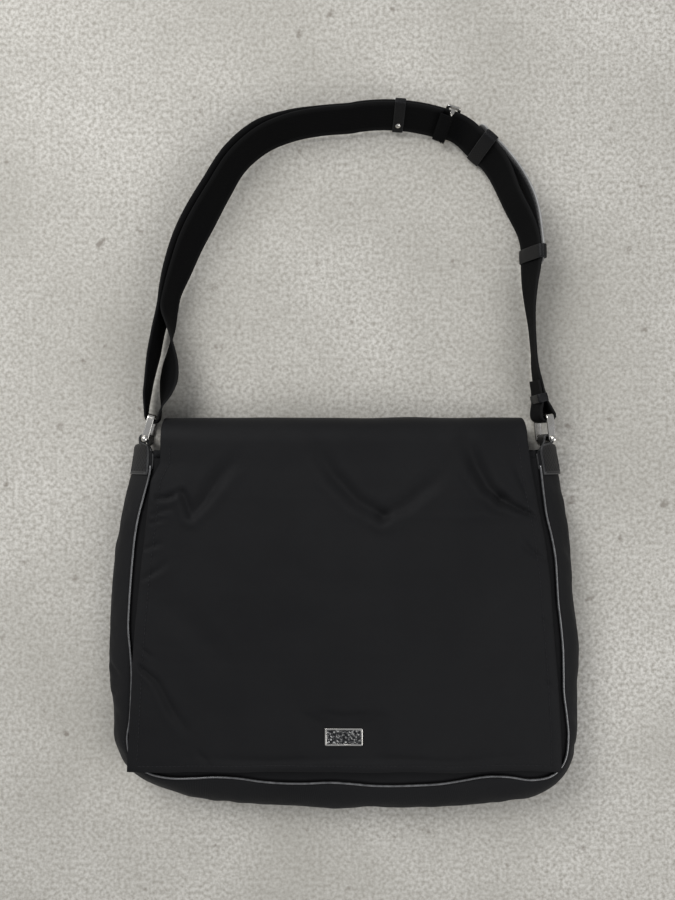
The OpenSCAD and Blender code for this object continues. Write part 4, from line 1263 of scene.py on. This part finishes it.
make_strip("slider_bar", bar, ones * slider_place[1][0], ones * slider_place[1][2], round_bar, NICKEL,
           "nickel", body="adjuster", stands_for=["adjuster_bar"])
around_bar = [(-9.0, 1.25), (-6, 1.3), (-3, 1.4), (-1.2, 1.45)]
around_bar += [(1.45 * math.sin(a), 1.45 * math.cos(a)) for a in np.linspace(0, math.pi * 1.25, 12)[1:]]
wrap = placed(slider_place, [[x, 0, bar_rise + z] for x, z in around_bar])
tangent = unit(np.gradient(wrap, axis=0))
across_way = np.tile(slider_place[1][1], (len(wrap), 1))
make_strip("slider_webbing_loop", wrap, across_way, np.cross(tangent, across_way),
           rounded_section(28.0, 1.1, 0.5), WEBBING, "webbing", body="adjuster",
           stands_for=["adjuster_loop"])

# %% [markdown]
# ## The shoulder pad
# The pad is a strip of leather over thin foam, a little wider than the webbing, with turned and
# stitched edges. It bows away from the strap between its two loops and flares past them at both
# ends. It is crowned by code along its arc; the edges are thin and sewn, and their pale colour is
# the painted leather edge plus a painted highlight where the edge catches the light.

# %% Pad
PAD_FROM, PAD_TO = -2.0, 54.5


def pad_bow(degrees):
    """How far the pad stands out from the strap, and how much more upright it is."""
    low, high = LOOP_DEGREES["lower"], LOOP_DEGREES["upper"]
    t = (degrees - low) / (high - low)
    if 0 <= t <= 1:
        return 4.4 * math.sin(math.pi * t) ** 0.9, 20 * math.sin(math.pi * t) ** 0.8
    past = (low - degrees) if t < 0 else (degrees - high)
    return 0.75 * past ** 1.5, 3.6 * past


pad_degrees = np.linspace(PAD_FROM, PAD_TO, 100)
pad_line, pad_w, pad_n, pad_scale = [], [], [], []
for d in pad_degrees:
    bow, upright_more = pad_bow(d)
    origin, axes = strap_frame(PAD_ARC, PAD_R, d, PAD_Z, min(84, pad_lean(d) + upright_more))
    radial = np.array([math.cos(math.radians(d)), math.sin(math.radians(d)), 0])
    base_axes = strap_frame(PAD_ARC, PAD_R, d, PAD_Z, pad_lean(d))[1]
    pad_line.append(origin - base_axes[2] * (FACE + 0.5 + 1.3) + radial * bow
                    + np.array([0, 0, 0.06 * upright_more]))
    pad_w.append(axes[1])
    pad_n.append(-axes[2])
    to_end = min(d - PAD_FROM, PAD_TO - d) * math.radians(1) * PAD_R
    pad_scale.append([math.sqrt(max(0.05, 1 - max(0, 1 - to_end / 10) ** 2.6)),
                      0.55 + 0.45 * min(1, to_end / 8)])
pad_section = rounded_section(33.0, 1.7, 0.8, 3, crown=0.75)
# The pad's edge points get the pale edge colour: painted leather edge plus painted highlight.
rim = np.clip((abs(pad_section[:, 0]) - 15.2) / 1.2, 0, 1)
pad = make_strip("shoulder_pad_leather", pad_line, np.array(pad_w), np.array(pad_n), pad_section,
                 PAD_LEATHER, "leather", scale=pad_scale, wear_and_highlight=rim, body="pad",
                 stands_for=["shoulder_pad"])
for sign, label in ((-1, "lower"), (1, "upper")):
    for face, word in ((1, "out"), (-1, "in")):
        line = [np.array(p) + w * sign * 13.9 * s[0] + n * face * 1.2 * s[1]
                for p, w, n, s in zip(pad_line, pad_w, pad_n, pad_scale)][3:-3]
        sew(f"pad_stitches_{label}_{word}", line, np.array(pad_n)[3:-3] * face, "pad", 2.4, 1.0, 0.24,
            slot="leather")
print("pad", round(math.radians(PAD_TO - PAD_FROM) * PAD_R), "mm long")

# %% [markdown]
# ## Badge and magnetic snap
# Low on the flap sits a small nickel plate: a polished raised frame round a darker field with a
# plain pebbled pattern. Behind it, a magnetic snap closes the flap: a domed cap under the flap and
# a dished base on the front panel.

# %% Badge
BADGE_Y, BADGE_Z = -83, 40.0
FRAME_W, FRAME_H, FRAME_STOCK = 31.0, 14.4, 1.5
frame_path = np.array([[x, BADGE_Y + y, BADGE_Z + 0.85] for x, y in round_corners(
    (FRAME_W - FRAME_STOCK) / 2, (FRAME_H - FRAME_STOCK) / 2, 0.6, 4)])
tangent = unit(np.roll(frame_path, -1, 0) - np.roll(frame_path, 1, 0))
up = np.tile([0.0, 0, 1], (len(frame_path), 1))
make_strip("badge_frame", frame_path, np.cross(up, tangent), up,
           rounded_section(FRAME_STOCK, 1.6, 0.45), NICKEL, "badge", closed=True, body="flap",
           stands_for=["badge_plate"])
gx, gy = np.meshgrid(np.linspace(-14.4, 14.4, 97), np.linspace(-89.1, -76.9, 43))
cells = np.cos(gx * 2 * math.pi / 4.8) * np.cos((gy - BADGE_Y) * 2 * math.pi / 4.1)
field = np.dstack([gx, gy, BADGE_Z + 0.75 + 0.22 * np.tanh(3 * cells)])
make_sheet("badge_field", field[::-1], 0.5, BADGE_FIELD, "badge", body="flap")

# %% Magnetic snap
cap = [[0.1, 0.0], [2.4, 0.0], [2.6, 0.3], [7.8, 0.3], [8.8, 0.6], [8.95, 1.1]]
turned("magnet_snap_cap", cap, (0, -64, 36.15), STEEL, "magnet", "flap", ["magnet_cap"])
base = [[8.9, 0.0], [9.0, 0.5], [8.6, 0.95], [4.0, 1.0], [3.3, 0.85], [3.1, 0.4], [0.1, 0.4]]
turned("magnet_snap_base", base, (0, -64, 34.05), STEEL, "magnet", "body", ["magnet_base"])
for name in ("magnet_base_washer", "magnet_cap_washer", "badge_washer"):
    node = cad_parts[name]
    if node.material_slots:
        node.material_slots[0].material = STEEL
    else:
        node.data.materials.append(STEEL)

# %% Write the sizes
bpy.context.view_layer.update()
shown = [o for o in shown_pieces()]
print(len(shown), "pieces,", sum(len(o.data.polygons) for o in shown if o.type == "MESH"), "faces")
